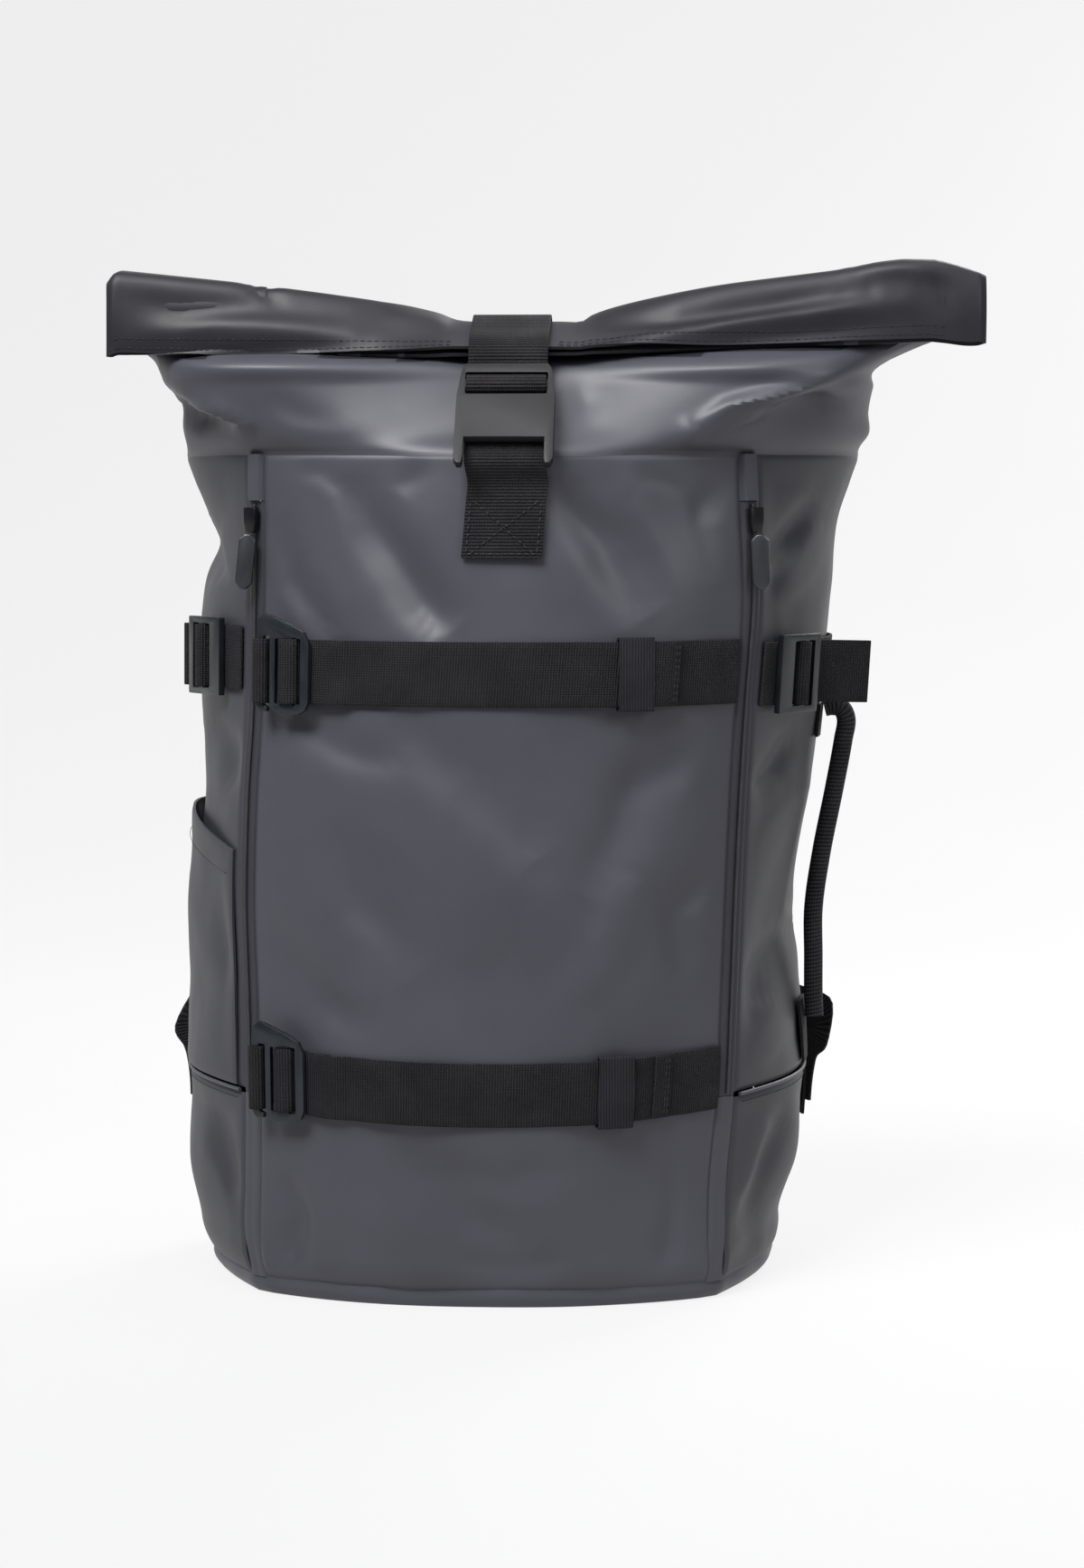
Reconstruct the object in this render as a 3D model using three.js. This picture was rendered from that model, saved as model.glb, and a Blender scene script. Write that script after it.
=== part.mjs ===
// A rolltop backpack standing on its base: a soft tube of coated cloth whose mouth is rolled forward
// once and held down by a strap and a hook buckle. Two webbing straps with G-hooks cross the front,
// two more with ladder locks hold the sides, and a pad and two shoulder straps are on the back.
// Millimetres, +Z up, the front faces -Y, and the origin is the middle of the base on the floor.
import * as THREE from "three";
import { mergeVertices } from "three/addons/utils/BufferGeometryUtils.js";

// Driving sizes of the bag.
const BODY_HEIGHT = 399; // floor to the seam under the collar
const BODY_WIDTH = 302; // across the sides at half height
const BODY_DEPTH = 180; // crown of the front to the back
const FRONT_WIDTH = 224; // between the two zips
const FRONT_BULGE = 40; // crown of the front, ahead of the zips
const ZIP_STRIP = 9.5;
const BOOT_HEIGHT = 97; // floor to the piped seam of the boot
const BASE_SEAM = 8; // floor to the bottom seam
const CORNER = 24; // round of the back corners
const LEAN = 19; // how far the top seam stands to the right of the base
const COLLAR_HEIGHT = 42; // top seam to the underside of the roll
const ROLL_WIDTH = 410;
const ROLL_BEND = 4.2; // radius of the middle of the fold
const ROLL_RISE = 55.5; // centre of the fold above the top seam, at the strap
const POCKET_TOP = 227;
const GARAGE = 22; // height of the cloth hoods over the top ends of the zips

// Driving sizes of cloth, webbing and hardware.
const CLOTH = 1.6;
const GAP = 0.3; // clearance between pieces that touch
const WEB = 1.6; // thickness of the webbing
const STRAP = 30; // width of the straps on the front and sides
const TOP_STRAP = 38;
const SHOULDER_WEB = 25;
const UPPER_STRAP = 298; // height of the middle of the upper strap
const LOWER_STRAP = 107;
const STRAP_SAG = 3.5; // the lower strap hangs lower in its middle
const HANDLE = 8.5; // diameter of the side handle
const PAD = 13; // thickness of the back pad
const SHOULDER_PAD = 11;
const SHOULDER_WIDTH = 62;

const COLOURS = {
  cloth: [0x46484e, 0.62, 0],
  zip: [0x303238, 0.7, 0],
  webbing: [0x232022, 0.85, 0],
  elastic: [0x23232c, 0.8, 0],
  hook: [0x3c4248, 0.35, 0.8],
  plastic: [0x2b2d31, 0.5, 0],
  rubber: [0x4a4c50, 0.6, 0],
  mesh: [0x1f1f22, 0.9, 0],
};

const bag = new THREE.Group();

function add(name, geometry, finish) {
  const [color, roughness, metalness] = COLOURS[finish];
  const material = new THREE.MeshStandardMaterial({ color, roughness, metalness });
  const mesh = new THREE.Mesh(geometry, material);
  mesh.name = name;
  bag.add(mesh);
}

// Rows of a table as one curve: at(place) gives an object with a value for each named column.
function table(columns, rows) {
  const values = rows.flatMap((row) => row.slice(1));
  const places = rows.map((row) => row[0]);
  const curve = new THREE.CubicInterpolant(places, values, columns.length);
  return (place) => {
    const found = curve.evaluate(place);
    return Object.fromEntries(columns.map((column, i) => [column, found[i]]));
  };
}

// Horizontal sections of the body. The first number is the share of BODY_HEIGHT, the others are
// shares of half of FRONT_WIDTH, half of BODY_WIDTH and FRONT_BULGE.
const sectionAt = table(
  ["frontLeft", "frontRight", "sideLeft", "sideRight", "bulge"],
  [
    [0.02, 0.93, 0.945, 0.955, 0.925, 0.62],
    [0.07, 0.962, 0.955, 0.985, 0.945, 0.74],
    [0.13, 0.961, 0.955, 1.012, 0.99, 0.84],
    [0.24, 0.965, 0.98, 1.029, 1.008, 0.96],
    [0.36, 0.985, 0.985, 1.023, 0.988, 1.0],
    [0.47, 1.01, 0.983, 1.026, 0.965, 1.0],
    [0.6, 1.02, 0.979, 1.012, 0.992, 1.0],
    [0.7, 1.018, 0.977, 1.038, 1.002, 1.0],
    [0.83, 1.04, 0.975, 1.07, 1.012, 0.97],
    [0.92, 1.065, 0.945, 1.062, 1.008, 0.92],
    [0.965, 1.08, 0.92, 1.11, 1.035, 0.88],
    [1.0, 1.09, 0.9, 1.15, 1.06, 0.85],
  ],
);

// Plan of a section, as shares of its own widths and of the depth behind the zips.
const PLAN = {
  stripTurn: 38, // degrees from the front to the run of the zip strip
  sideHandle: 0.3, // how far the side runs outwards before it turns back
  sideFull: 0.8, // where it is widest
  crown: 2.4, // how flat the middle of the front is
};
const SEAM_Y = -BODY_DEPTH / 2 + FRONT_BULGE;
const BACK_Y = BODY_DEPTH / 2;

const lean = (z) => LEAN * (z / BODY_HEIGHT) ** 2;

// Right half of a section: 0.5 is the middle of the front, 1 the zip seam, 2 the outer edge of
// the strip, 3 the widest place of the side, 4 the back seam and 4.5 the middle of the back.
function halfPlan(place, front, side, bulge) {
  const turn = THREE.MathUtils.degToRad(PLAN.stripTurn);
  const strip = new THREE.Vector2(front, SEAM_Y);
  const edge = new THREE.Vector2(
    front + ZIP_STRIP * Math.cos(turn),
    SEAM_Y + ZIP_STRIP * Math.sin(turn),
  );
  const run = BACK_Y - edge.y;
  const wide = new THREE.Vector2(side, edge.y + run * PLAN.sideFull);
  const rear = new THREE.Vector2(side - CORNER, BACK_Y);
  if (place <= 1) {
    const share = (place - 0.5) * 2;
    const crown = bulge * (1 - share ** PLAN.crown);
    return new THREE.Vector2(front * share, SEAM_Y - crown);
  }
  if (place <= 2) return strip.lerp(edge, place - 1);
  if (place <= 3) {
    const handle = new THREE.Vector2(
      edge.x + (side - edge.x) * 0.72,
      edge.y + run * PLAN.sideHandle,
    );
    const before = new THREE.Vector2(side, wide.y - run * PLAN.sideHandle);
    return new THREE.CubicBezierCurve(edge, handle, before, wide).getPoint(place - 2);
  }
  if (place <= 4) {
    const corner = new THREE.Vector2(side, BACK_Y);
    return new THREE.QuadraticBezierCurve(wide, corner, rear).getPoint(place - 3);
  }
  return rear.multiply(new THREE.Vector2(1 - (place - 4) * 2, 1));
}

// Once round a section is 0 to 8: front, right strip, side, corner, back, and the same on the left.
const isLeft = (around) => around < 0.5 || around > 4.5;
const foldedPlace = (around) => {
  if (around < 0.5) return 1 - around;
  return around > 4.5 ? 9 - around : around;
};
const wrap = (around) => ((around % 8) + 8) % 8;

// Main dents and folds of the cloth. Shares of the way round and of BODY_HEIGHT, half spans in the
// same units, and the depth in millimetres outwards.
const FOLDS = [
  { around: 0.86, height: 0.93, across: 0.12, along: 0.07, depth: -5 },
  { around: 0.2, height: 0.9, across: 0.12, along: 0.1, depth: -2.5 },
  { around: 0.5, height: 0.5, across: 0.3, along: 0.14, depth: 2.5 },
  { around: 0.82, height: 0.15, across: 0.1, along: 0.1, depth: -3 },
  { around: 2.6, height: 0.42, across: 0.35, along: 0.1, depth: -4 },
  { around: 2.5, height: 0.16, across: 0.4, along: 0.07, depth: 3 },
  { around: 6.5, height: 0.88, across: 0.4, along: 0.06, depth: -4 },
  { around: 6.4, height: 0.13, across: 0.4, along: 0.07, depth: 3 },
  { around: 2.4, height: 0.9, across: 0.4, along: 0.06, depth: -3 },
];

function foldDepth(around, z) {
  let depth = 0;
  for (const fold of FOLDS) {
    const a = (around - fold.around) / fold.across;
    const h = (z / BODY_HEIGHT - fold.height) / fold.along;
    depth += fold.depth * Math.exp(-a * a - h * h);
  }
  return depth;
}

function smoothBody(around, z) {
  const place = wrap(around);
  const section = sectionAt(z / BODY_HEIGHT);
  const left = isLeft(place);
  const front = (FRONT_WIDTH / 2) * (left ? section.frontLeft : section.frontRight);
  const side = (BODY_WIDTH / 2) * (left ? section.sideLeft : section.sideRight);
  const plan = halfPlan(foldedPlace(place), front, side, FRONT_BULGE * section.bulge);
  return new THREE.Vector3((left ? -plan.x : plan.x) + lean(z), plan.y, z);
}

// Level direction out of a section, the mean of both sides where two panels meet at a corner.
function levelOut(around, z) {
  const step = 1e-3;
  const here = smoothBody(around, z);
  const ahead = smoothBody(around + step, z).sub(here).normalize();
  const behind = here.clone().sub(smoothBody(around - step, z)).normalize();
  return ahead.add(behind).cross(new THREE.Vector3(0, 0, 1)).normalize();
}

// A point of the body's outer face, and one that stands off it by lift.
function bodyPoint(around, z, lift = 0) {
  const out = levelOut(around, z);
  return smoothBody(around, z).addScaledVector(out, foldDepth(wrap(around), z) + lift);
}

// Closed solid between two grids of points, outer and inner. Columns run round the bag and rows run
// up. On a ring the last column joins the first. Triangles that close to nothing are left out.
function closedSheet(outer, inner, ring = false) {
  const columns = outer.length;
  const rows = outer[0].length;
  const corners = [];
  const quad = (a, b, c, d) => corners.push(a, b, c, a, c, d);
  const lastColumn = ring ? columns : columns - 1;
  for (let i = 0; i < lastColumn; i++) {
    const k = (i + 1) % columns;
    for (let j = 0; j < rows - 1; j++) {
      quad(outer[i][j], outer[k][j], outer[k][j + 1], outer[i][j + 1]);
      quad(inner[i][j + 1], inner[k][j + 1], inner[k][j], inner[i][j]);
    }
    quad(inner[i][0], inner[k][0], outer[k][0], outer[i][0]);
    quad(outer[i][rows - 1], outer[k][rows - 1], inner[k][rows - 1], inner[i][rows - 1]);
  }
  if (!ring) {
    const end = columns - 1;
    for (let j = 0; j < rows - 1; j++) {
      quad(outer[0][j], outer[0][j + 1], inner[0][j + 1], inner[0][j]);
      quad(inner[end][j], inner[end][j + 1], outer[end][j + 1], outer[end][j]);
    }
  }
  return fromCorners(corners);
}

function fromCorners(corners) {
  const positions = new Float32Array(corners.flatMap((p) => [p.x, p.y, p.z]));
  const loose = new THREE.BufferGeometry();
  loose.setAttribute("position", new THREE.BufferAttribute(positions, 3));
  const merged = mergeVertices(loose, 1e-3);
  const index = [];
  for (let i = 0; i < merged.index.count; i += 3) {
    const [a, b, c] = [0, 1, 2].map((k) => merged.index.getX(i + k));
    if (a !== b && b !== c && c !== a) index.push(a, b, c);
  }
  merged.setIndex(index);
  merged.computeVertexNormals();
  return merged;
}

const steps = (from, to, count) =>
  Array.from({ length: count + 1 }, (_, i) => from + ((to - from) * i) / count);

// A panel of the body: the part of its face between two places round it and two heights. It stands
// off the body by lift, and holds half of the clearance at each edge.
function panel(arounds, heights, options = {}) {
  const { lift = () => 0, thick = CLOTH, trim = GAP / 2, trimRows = trim } = options;
  const rows = [...heights];
  rows[0] += trimRows;
  rows[rows.length - 1] -= trimRows;
  const first = arounds[0];
  const last = arounds[arounds.length - 1];
  const outer = [];
  const inner = [];
  for (const around of arounds) {
    const inwards = { [first]: 1e-3, [last]: -1e-3 }[around] ?? 0;
    const face = (z, depth) => {
      const point = bodyPoint(around, z, lift(around, z) - depth);
      const along = smoothBody(around + inwards, z).sub(smoothBody(around, z));
      return point.addScaledVector(along.normalize(), trim);
    };
    outer.push(rows.map((z) => face(z, 0)));
    inner.push(rows.map((z) => face(z, thick)));
  }
  return closedSheet(outer, inner);
}

const FRONT_COLUMNS = 12;
const SIDE_PLACES = [2, 2.25, 2.5, 2.75, 3, 3.33, 3.67, 4];
const mirrored = (places) => places.map((place) => 9 - place).reverse();
const PIPING = 2; // diameter of the boot's piping
const HOOD = BODY_HEIGHT - GARAGE; // lower edge of the hoods

// Every panel has its rows at these heights, so that neighbours keep their clearance all along.
const ROWS = [
  ...steps(BASE_SEAM, BOOT_HEIGHT, 4),
  ...steps(BOOT_HEIGHT, HOOD, 12).slice(1),
  ...steps(HOOD, BODY_HEIGHT, 2).slice(1),
];

function rowsBetween(low, high) {
  const clear = PIPING + GAP;
  return [low, ...ROWS.filter((z) => z > low + clear && z < high - clear), high];
}

function bodyPanels() {
  const edge = PIPING / 2 + GAP / 2;
  const whole = rowsBetween(BASE_SEAM, BODY_HEIGHT);
  add("front_panel", panel(steps(0, 1, FRONT_COLUMNS), whole), "cloth");
  add("back_panel", panel(steps(4, 5, 4), whole), "cloth");
  for (const [side, places] of [["right", SIDE_PLACES], ["left", mirrored(SIDE_PLACES)]]) {
    add("side_panel_" + side, panel(places, rowsBetween(BOOT_HEIGHT + edge, BODY_HEIGHT)), "cloth");
    add("boot_" + side, panel(places, rowsBetween(BASE_SEAM, BOOT_HEIGHT - edge)), "cloth");
    add("boot_piping_" + side, piping(places), "cloth");
  }
}

// The piping lies in the seam between the boot and the side, and stands a little proud of both.
function piping(places) {
  const radius = PIPING / 2;
  const rows = [BOOT_HEIGHT - radius, BOOT_HEIGHT, BOOT_HEIGHT + radius];
  const proud = (around, z) => (z === BOOT_HEIGHT ? radius : radius * 0.3);
  return panel(places, rows, { lift: proud, thick: radius * 2, trimRows: 0 });
}

// Zip strips: the coil stands along the middle of its tape, a cloth hood covers its top end, and
// below the boot's seam the strip is plain cloth.
const COIL = 1.1;

function zipStrips() {
  for (const [side, from] of [["right", 1], ["left", 7]]) {
    const tape = [from, from + 0.25, from + 0.38, from + 0.62, from + 0.75, from + 1];
    const coil = (around) => (Math.abs(around - from - 0.5) < 0.2 ? COIL : 0);
    add("strip_" + side, panel([from, from + 1], rowsBetween(BASE_SEAM, BOOT_HEIGHT)), "cloth");
    add("zip_" + side, panel(tape, rowsBetween(BOOT_HEIGHT, HOOD), { lift: coil }), "zip");
    const hoodPlaces = [from, from + 0.5, from + 1];
    const hoodShape = { lift: () => COIL, thick: CLOTH + COIL };
    add("zip_hood_" + side, panel(hoodPlaces, rowsBetween(HOOD, BODY_HEIGHT), hoodShape), "cloth");
  }
}

// The base is a shallow tray: flat on the floor, with a round edge up to the bottom seam.
function base() {
  const places = [
    ...steps(0, 1, FRONT_COLUMNS / 2),
    ...SIDE_PLACES,
    ...mirrored(SIDE_PLACES),
  ];
  const centre = new THREE.Vector3(0, 0, 0);
  const inset = [
    { along: 0.05, height: 0 },
    { along: 0.955, height: 0 },
    { along: 0.985, height: 0.22 },
    { along: 0.998, height: 0.6 },
    { along: 1, height: 1 },
  ];
  const top = BASE_SEAM - GAP / 2;
  const face = (around, { along, height }, depth) => {
    const rim = bodyPoint(around, BASE_SEAM, -depth * Math.min(1, height * 2));
    const point = centre.clone().lerp(rim, along);
    point.z = Math.max(top * height, depth * (height < 1 ? 1 : 0));
    return point;
  };
  const outer = places.map((around) => [centre, ...inset.map((row) => face(around, row, 0))]);
  const inside = centre.clone().setZ(CLOTH);
  const inner = places.map((around) => [inside, ...inset.map((row) => face(around, row, CLOTH))]);
  return closedSheet(outer, inner, true);
}

// Side pocket on the left: a sheet over the side panel from the boot's seam up, a little slack at
// its mouth and close to the side at its three sewn edges.
const POCKET_SLACK = 4;

function pocket() {
  const places = mirrored([2.04, 2.25, 2.5, 2.75, 3, 3.33, 3.67, 3.92]);
  const heights = steps(BOOT_HEIGHT + PIPING + GAP, POCKET_TOP, 6);
  const run = places[places.length - 1] - places[0];
  const slack = (around, z) => {
    const across = Math.sin((Math.PI * (around - places[0])) / run);
    const up = (z - BOOT_HEIGHT) / (POCKET_TOP - BOOT_HEIGHT);
    return GAP + CLOTH + POCKET_SLACK * across * up;
  };
  return panel(places, heights, { lift: slack, trim: 0 });
}

// The collar goes on from the top seam as one tube of cloth. It narrows to a neck, is flat from there
// on, folds forward once and ends in the hem. Once round it, turn 0 is the middle of the front, 1 the
// end of the roll, where the front and the back layer meet, and 2 the middle of the back.
const FOLD_PLACE = 2.6; // place on the side that becomes the end of the roll
const turnOf = new THREE.LinearInterpolant(
  [0.5, 1, 2, FOLD_PLACE, 3, 4, 4.5],
  [0, 0.607, 0.65, 1, 1.17, 1.33, 2],
  1,
);

// Sections of the neck. The first number is the share of COLLAR_HEIGHT. X values are shares of half
// of ROLL_WIDTH, Y values shares of half of BODY_DEPTH, and cornerTurn is where the ridge lies.
const neckAt = table(
  ["frontY", "cornerTurn", "cornerX", "cornerY", "leftX", "rightX", "sideY", "backX", "backY"],
  [
    [0.22, -0.85, 0.66, 0.62, -0.6, 0.83, 0.79, 0.2, 0.62, 0.86],
    [0.48, -0.75, 0.74, 0.69, -0.56, 0.84, 0.785, 0.1, 0.6, 0.68],
    [0.75, -0.64, 0.84, 0.76, -0.5, 0.86, 0.785, 0, 0.56, 0.45],
    [1.0, -0.54, 0.92, 0.8, -0.42, 0.88, 0.79, -0.1, 0.5, 0.2],
  ],
);

// Lines of the roll at the strap and at its ends: place and rise of the centre of the fold, how far
// the two layers run straight below it, how far the fold turns and how long the flap is.
const ROLL = {
  strap: { y: -0.3, rise: 0, below: 3, turn: 114, flap: 30 },
  end: { y: -0.32, riseLeft: 24.5, riseRight: 31, below: 25, turn: 163, flap: 36 },
  easing: 0.6, // the roll rises fast beside the strap and slowly at its ends
  strapTurn: -0.05, // where the strap crosses it
  pinched: 0.152, // how far to each side the strap holds it level
  seat: 0.7, // room between the middle of the roll and each layer
};
const LAYER = CLOTH + ROLL.seat; // middle of the roll to its faces
const END_ROUND = 3; // how near to its end the roll closes

function neckPoint(turn, left, share) {
  const row = neckAt(share);
  const halfRoll = ROLL_WIDTH / 2;
  const halfDepth = BODY_DEPTH / 2;
  const side = left ? row.leftX : row.rightX;
  const turns = [0, row.cornerTurn, 1, 1.33, 2];
  const corners = [
    [0, row.frontY],
    [row.cornerX * (side / 0.83), row.cornerY],
    [side, row.sideY],
    [row.backX, row.backY * 0.94],
    [0, row.backY],
  ];
  const found = new THREE.CubicInterpolant(turns, corners.flat(), 2).evaluate(turn);
  const z = BODY_HEIGHT + COLLAR_HEIGHT * share;
  return new THREE.Vector3((left ? -1 : 1) * found[0] * halfRoll + lean(z), found[1] * halfDepth, z);
}

// A point of the roll: stage 0 is below the fold, 1 to 2 go round it, and 3 is the hem.
function rollPoint(turn, left, stage, lift = 0) {
  const across = turn > 1 ? 2 - turn : turn;
  const fromStrap = Math.abs((left ? -across : across) - ROLL.strapTurn) - ROLL.pinched;
  const reach = 1 - ROLL.pinched + (left ? ROLL.strapTurn : -ROLL.strapTurn);
  const ease = Math.max(0, fromStrap / reach) ** ROLL.easing;
  const mix = (name) => THREE.MathUtils.lerp(ROLL.strap[name], ROLL.end[name], ease);
  const rise = ease * (left ? ROLL.end.riseLeft : ROLL.end.riseRight);
  const layer = THREE.MathUtils.clamp(((turn - 1) * ROLL_WIDTH) / 2 / END_ROUND, -1, 1) * LAYER;
  const centre = { y: (mix("y") * BODY_DEPTH) / 2, z: BODY_HEIGHT + ROLL_RISE + rise };
  const angle = THREE.MathUtils.degToRad(mix("turn")) * THREE.MathUtils.clamp(stage - 1, 0, 1);
  const radius = ROLL_BEND + layer + lift;
  const straight = stage < 1 ? -mix("below") * (1 - stage) : 0;
  const flap = Math.max(0, stage - 2) * mix("flap");
  const y = centre.y + radius * Math.cos(angle) - flap * Math.sin(angle);
  const z = centre.z + radius * Math.sin(angle) + flap * Math.cos(angle) + straight;
  const narrow = stage < 1 ? 0.965 + 0.035 * stage : 1;
  const x = (left ? -1 : 1) * across * (ROLL_WIDTH / 2) * narrow;
  return new THREE.Vector3(x + lean(centre.z), y, z);
}

// Creases of the collar, which start at the ends of the roll and run down to the corners.
const COLLAR_FOLDS = [
  { left: false, turn: 0.72, share: 0.2, across: 0.12, along: 0.25, depth: -7 },
  { left: false, turn: 0.8, share: 0.6, across: 0.1, along: 0.25, depth: 3 },
  { left: true, turn: 0.86, share: 0.35, across: 0.08, along: 0.25, depth: -6 },
  { left: true, turn: 0.74, share: 0.4, across: 0.07, along: 0.3, depth: 3 },
  { left: false, turn: 1.6, share: 0.5, across: 0.2, along: 0.3, depth: -4 },
];

function collarFold(turn, left, share) {
  let depth = 0;
  for (const fold of COLLAR_FOLDS) {
    const a = (turn - fold.turn) / fold.across;
    const h = (share - fold.share) / fold.along;
    if (fold.left === left) depth += fold.depth * Math.exp(-a * a - h * h);
  }
  return depth;
}

// Normals of a grid that is a ring in its columns.
function gridNormal(grid, i, j) {
  const here = grid[i][j];
  const columns = grid.length;
  const unit = (from, to) => to.clone().sub(from).normalize();
  const round = unit(grid[(i + columns - 1) % columns][j], here);
  round.add(unit(here, grid[(i + 1) % columns][j]));
  const rise = new THREE.Vector3();
  if (j > 0) rise.add(unit(grid[i][j - 1], here));
  if (j < grid[i].length - 1) rise.add(unit(here, grid[i][j + 1]));
  return round.cross(rise).normalize();
}

function collar() {
  const nearFold = [FOLD_PLACE - 0.025, FOLD_PLACE, FOLD_PLACE + 0.016];
  const side = [2, 2.2, 2.4, 2.52, ...nearFold, 2.7, 3, 3.5, 4];
  const places = [
    ...steps(0, 1, FRONT_COLUMNS),
    ...side,
    4.2, 4.35, 4.5, 4.65, 4.8,
    ...mirrored(side),
  ];
  const neckRows = [0.22, 0.48, 0.75, 1];
  const rollRows = [0, 1, 1.34, 1.67, 2, 2.5, 3];
  const seam = BODY_HEIGHT + GAP / 2;
  const outer = places.map((around) => {
    const left = isLeft(around);
    const turn = turnOf.evaluate(foldedPlace(around))[0];
    const neck = neckRows.map((share) => neckPoint(turn, left, share));
    const roll = rollRows.map((stage) => rollPoint(turn, left, stage));
    return [bodyPoint(around, BODY_HEIGHT).setZ(seam), ...neck, ...roll];
  });
  const smooth = outer.map((column, i) => column.map((point, j) => gridNormal(outer, i, j)));
  outer.forEach((column, i) => {
    const left = isLeft(places[i]);
    const turn = turnOf.evaluate(foldedPlace(places[i]))[0];
    neckRows.forEach((share, k) => {
      column[k + 1].addScaledVector(smooth[i][k + 1], collarFold(turn, left, share));
    });
  });
  const inner = outer.map((column, i) =>
    column.map((point, j) => {
      if (j === 0) return bodyPoint(places[i], BODY_HEIGHT, -CLOTH).setZ(seam);
      return point.clone().addScaledVector(gridNormal(outer, i, j), -CLOTH);
    }),
  );
  return closedSheet(outer, inner, true);
}

// A flat strip along a route. Each step of the route is a point and the direction of the width.
function webbing(route, width, thick = WEB) {
  const outer = [];
  const inner = [];
  const unit = (from, to) => to.clone().sub(from).normalize();
  route.forEach(({ point, wide }, i) => {
    const run = new THREE.Vector3();
    if (i > 0) run.add(unit(route[i - 1].point, point));
    if (i < route.length - 1) run.add(unit(point, route[i + 1].point));
    const out = run.cross(wide).normalize();
    const edge = (side, face) => {
      const corner = point.clone().addScaledVector(wide, (side * width) / 2);
      return corner.addScaledVector(out, (face * thick) / 2);
    };
    outer.push([edge(-1, 1), edge(1, 1)]);
    inner.push([edge(-1, -1), edge(1, -1)]);
  });
  return closedSheet(outer, inner);
}

const UP = new THREE.Vector3(0, 0, 1);
const LYING = GAP * 1.5 + WEB / 2; // middle of a strip that lies on the cloth
const OVER = LYING + WEB + GAP; // and of a second one on top of it

// Direction straight up the cloth at a place of the body.
function riseAt(around, z) {
  return bodyPoint(around, z + STRAP / 2).sub(bodyPoint(around, z - STRAP / 2)).normalize();
}

// Place round the body of a point of the front that is x to the right of the base's middle.
function frontPlace(x, z) {
  const section = sectionAt(z / BODY_HEIGHT);
  const off = x - lean(z);
  const half = (FRONT_WIDTH / 2) * (off < 0 ? section.frontLeft : section.frontRight);
  return 0.5 + off / half / 2;
}

// A step of a route on the body, its middle at the height of the mean of both edges.
function onBody(around, z, lift) {
  const half = STRAP / 2;
  const mean = bodyPoint(around, z + half, lift).add(bodyPoint(around, z - half, lift)).divideScalar(2);
  const middle = bodyPoint(around, z, lift);
  const out = levelOut(around, z);
  const proud = Math.max(0, middle.clone().sub(mean).dot(out));
  return { point: mean.addScaledVector(out, proud), wide: riseAt(around, z) };
}

// A frame of its own for a piece of hardware: x along the strap, y up and z out of the cloth.
function seatFrame(around, z, turn = 0) {
  const level = levelOut(around, z).applyAxisAngle(UP, THREE.MathUtils.degToRad(turn));
  const along = UP.clone().cross(level).normalize();
  const rise = riseAt(around, z);
  rise.addScaledVector(along, -rise.dot(along)).normalize();
  const out = along.clone().cross(rise);
  return new THREE.Matrix4().makeBasis(along, rise, out).setPosition(onBody(around, z, 0).point);
}

function plate(shape, thick, lift, frame) {
  const settings = { depth: thick, bevelEnabled: false, curveSegments: 3 };
  return new THREE.ExtrudeGeometry(shape, settings).translate(0, 0, lift).applyMatrix4(frame);
}

// A step of a route in a frame of hardware, x along it and z out of it.
function inFrame(frame, x, z) {
  const wide = new THREE.Vector3().setFromMatrixColumn(frame, 1);
  return { point: new THREE.Vector3(x, 0, z).applyMatrix4(frame), wide };
}

function outline(points) {
  const turns = points.map(([x, y]) => new THREE.Vector2(x, y));
  return new THREE.Shape(THREE.ShapeUtils.isClockWise(turns) ? turns.reverse() : turns);
}

// A rectangle with small cut corners.
const CUT = 0.5;
function box2(left, right, low, high, cut = CUT) {
  return [
    [left + cut, low],
    [right - cut, low],
    [right, low + cut],
    [right, high - cut],
    [right - cut, high],
    [left + cut, high],
    [left, high - cut],
    [left, low + cut],
  ];
}

const SLOT_STEP = 0.3; // the second slot of a plate is this much shorter at each end

// G-hook: a frame whose middle bar the strap goes round, and an open arm on the left that hooks
// into a loop. X values are from the middle bar, Y values from the middle of the slot.
const HOOK = {
  bar: 2.6, // half width of the middle bar
  slot: 6.9, // middle bar to the inner edges of the frame
  slotHigh: STRAP / 2 + 0.6,
  post: 9.8,
  right: 11.2,
  low: 20,
  arm: 17.2,
  armIn: 13.4,
  thick: 2.6,
  lift: 5.8,
};

function hookShape() {
  const { bar, slot, slotHigh, post, right, low, arm, armIn } = HOOK;
  const shape = outline([
    [-post, -low * 0.7],
    [-post * 0.8, -low * 0.92],
    [-post * 0.45, -low],
    [right * 0.5, -low],
    [right * 0.85, -low * 0.9],
    [right, -low * 0.7],
    [right, low * 0.65],
    [right * 0.75, low * 0.92],
    [right * 0.1, low * 1.1],
    [-post, low * 1.3],
    [-armIn, low * 1.34],
    [-arm * 0.98, low * 1.2],
    [-arm, low * 0.95],
    [-arm, -low * 0.8],
    [-arm * 0.9, -low * 0.94],
    [-armIn * 0.84, -low * 0.94],
    [-armIn * 0.83, -low * 0.84],
    [-armIn, -low * 0.78],
    [-armIn, low * 0.82],
    [-post, low * 0.82],
  ]);
  shape.holes.push(outline(box2(bar, slot, -slotHigh, slotHigh)));
  shape.holes.push(outline(box2(-slot, -bar, -slotHigh + SLOT_STEP, slotHigh - SLOT_STEP)));
  return shape;
}

// Steps of a strap that goes over a bar from one side to the other, its ends level with the bar.
function roundBar(reach, barZ, thick, top, middle = 0) {
  const corner = thick / 2 - GAP;
  const cut = 1.1;
  const half = [
    [reach, barZ - corner],
    [reach, barZ + corner],
    [reach - cut, top],
  ];
  const left = half.map(([x, z]) => [middle - x, z]);
  return [...left, ...half.reverse().map(([x, z]) => [middle + x, z])];
}

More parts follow.
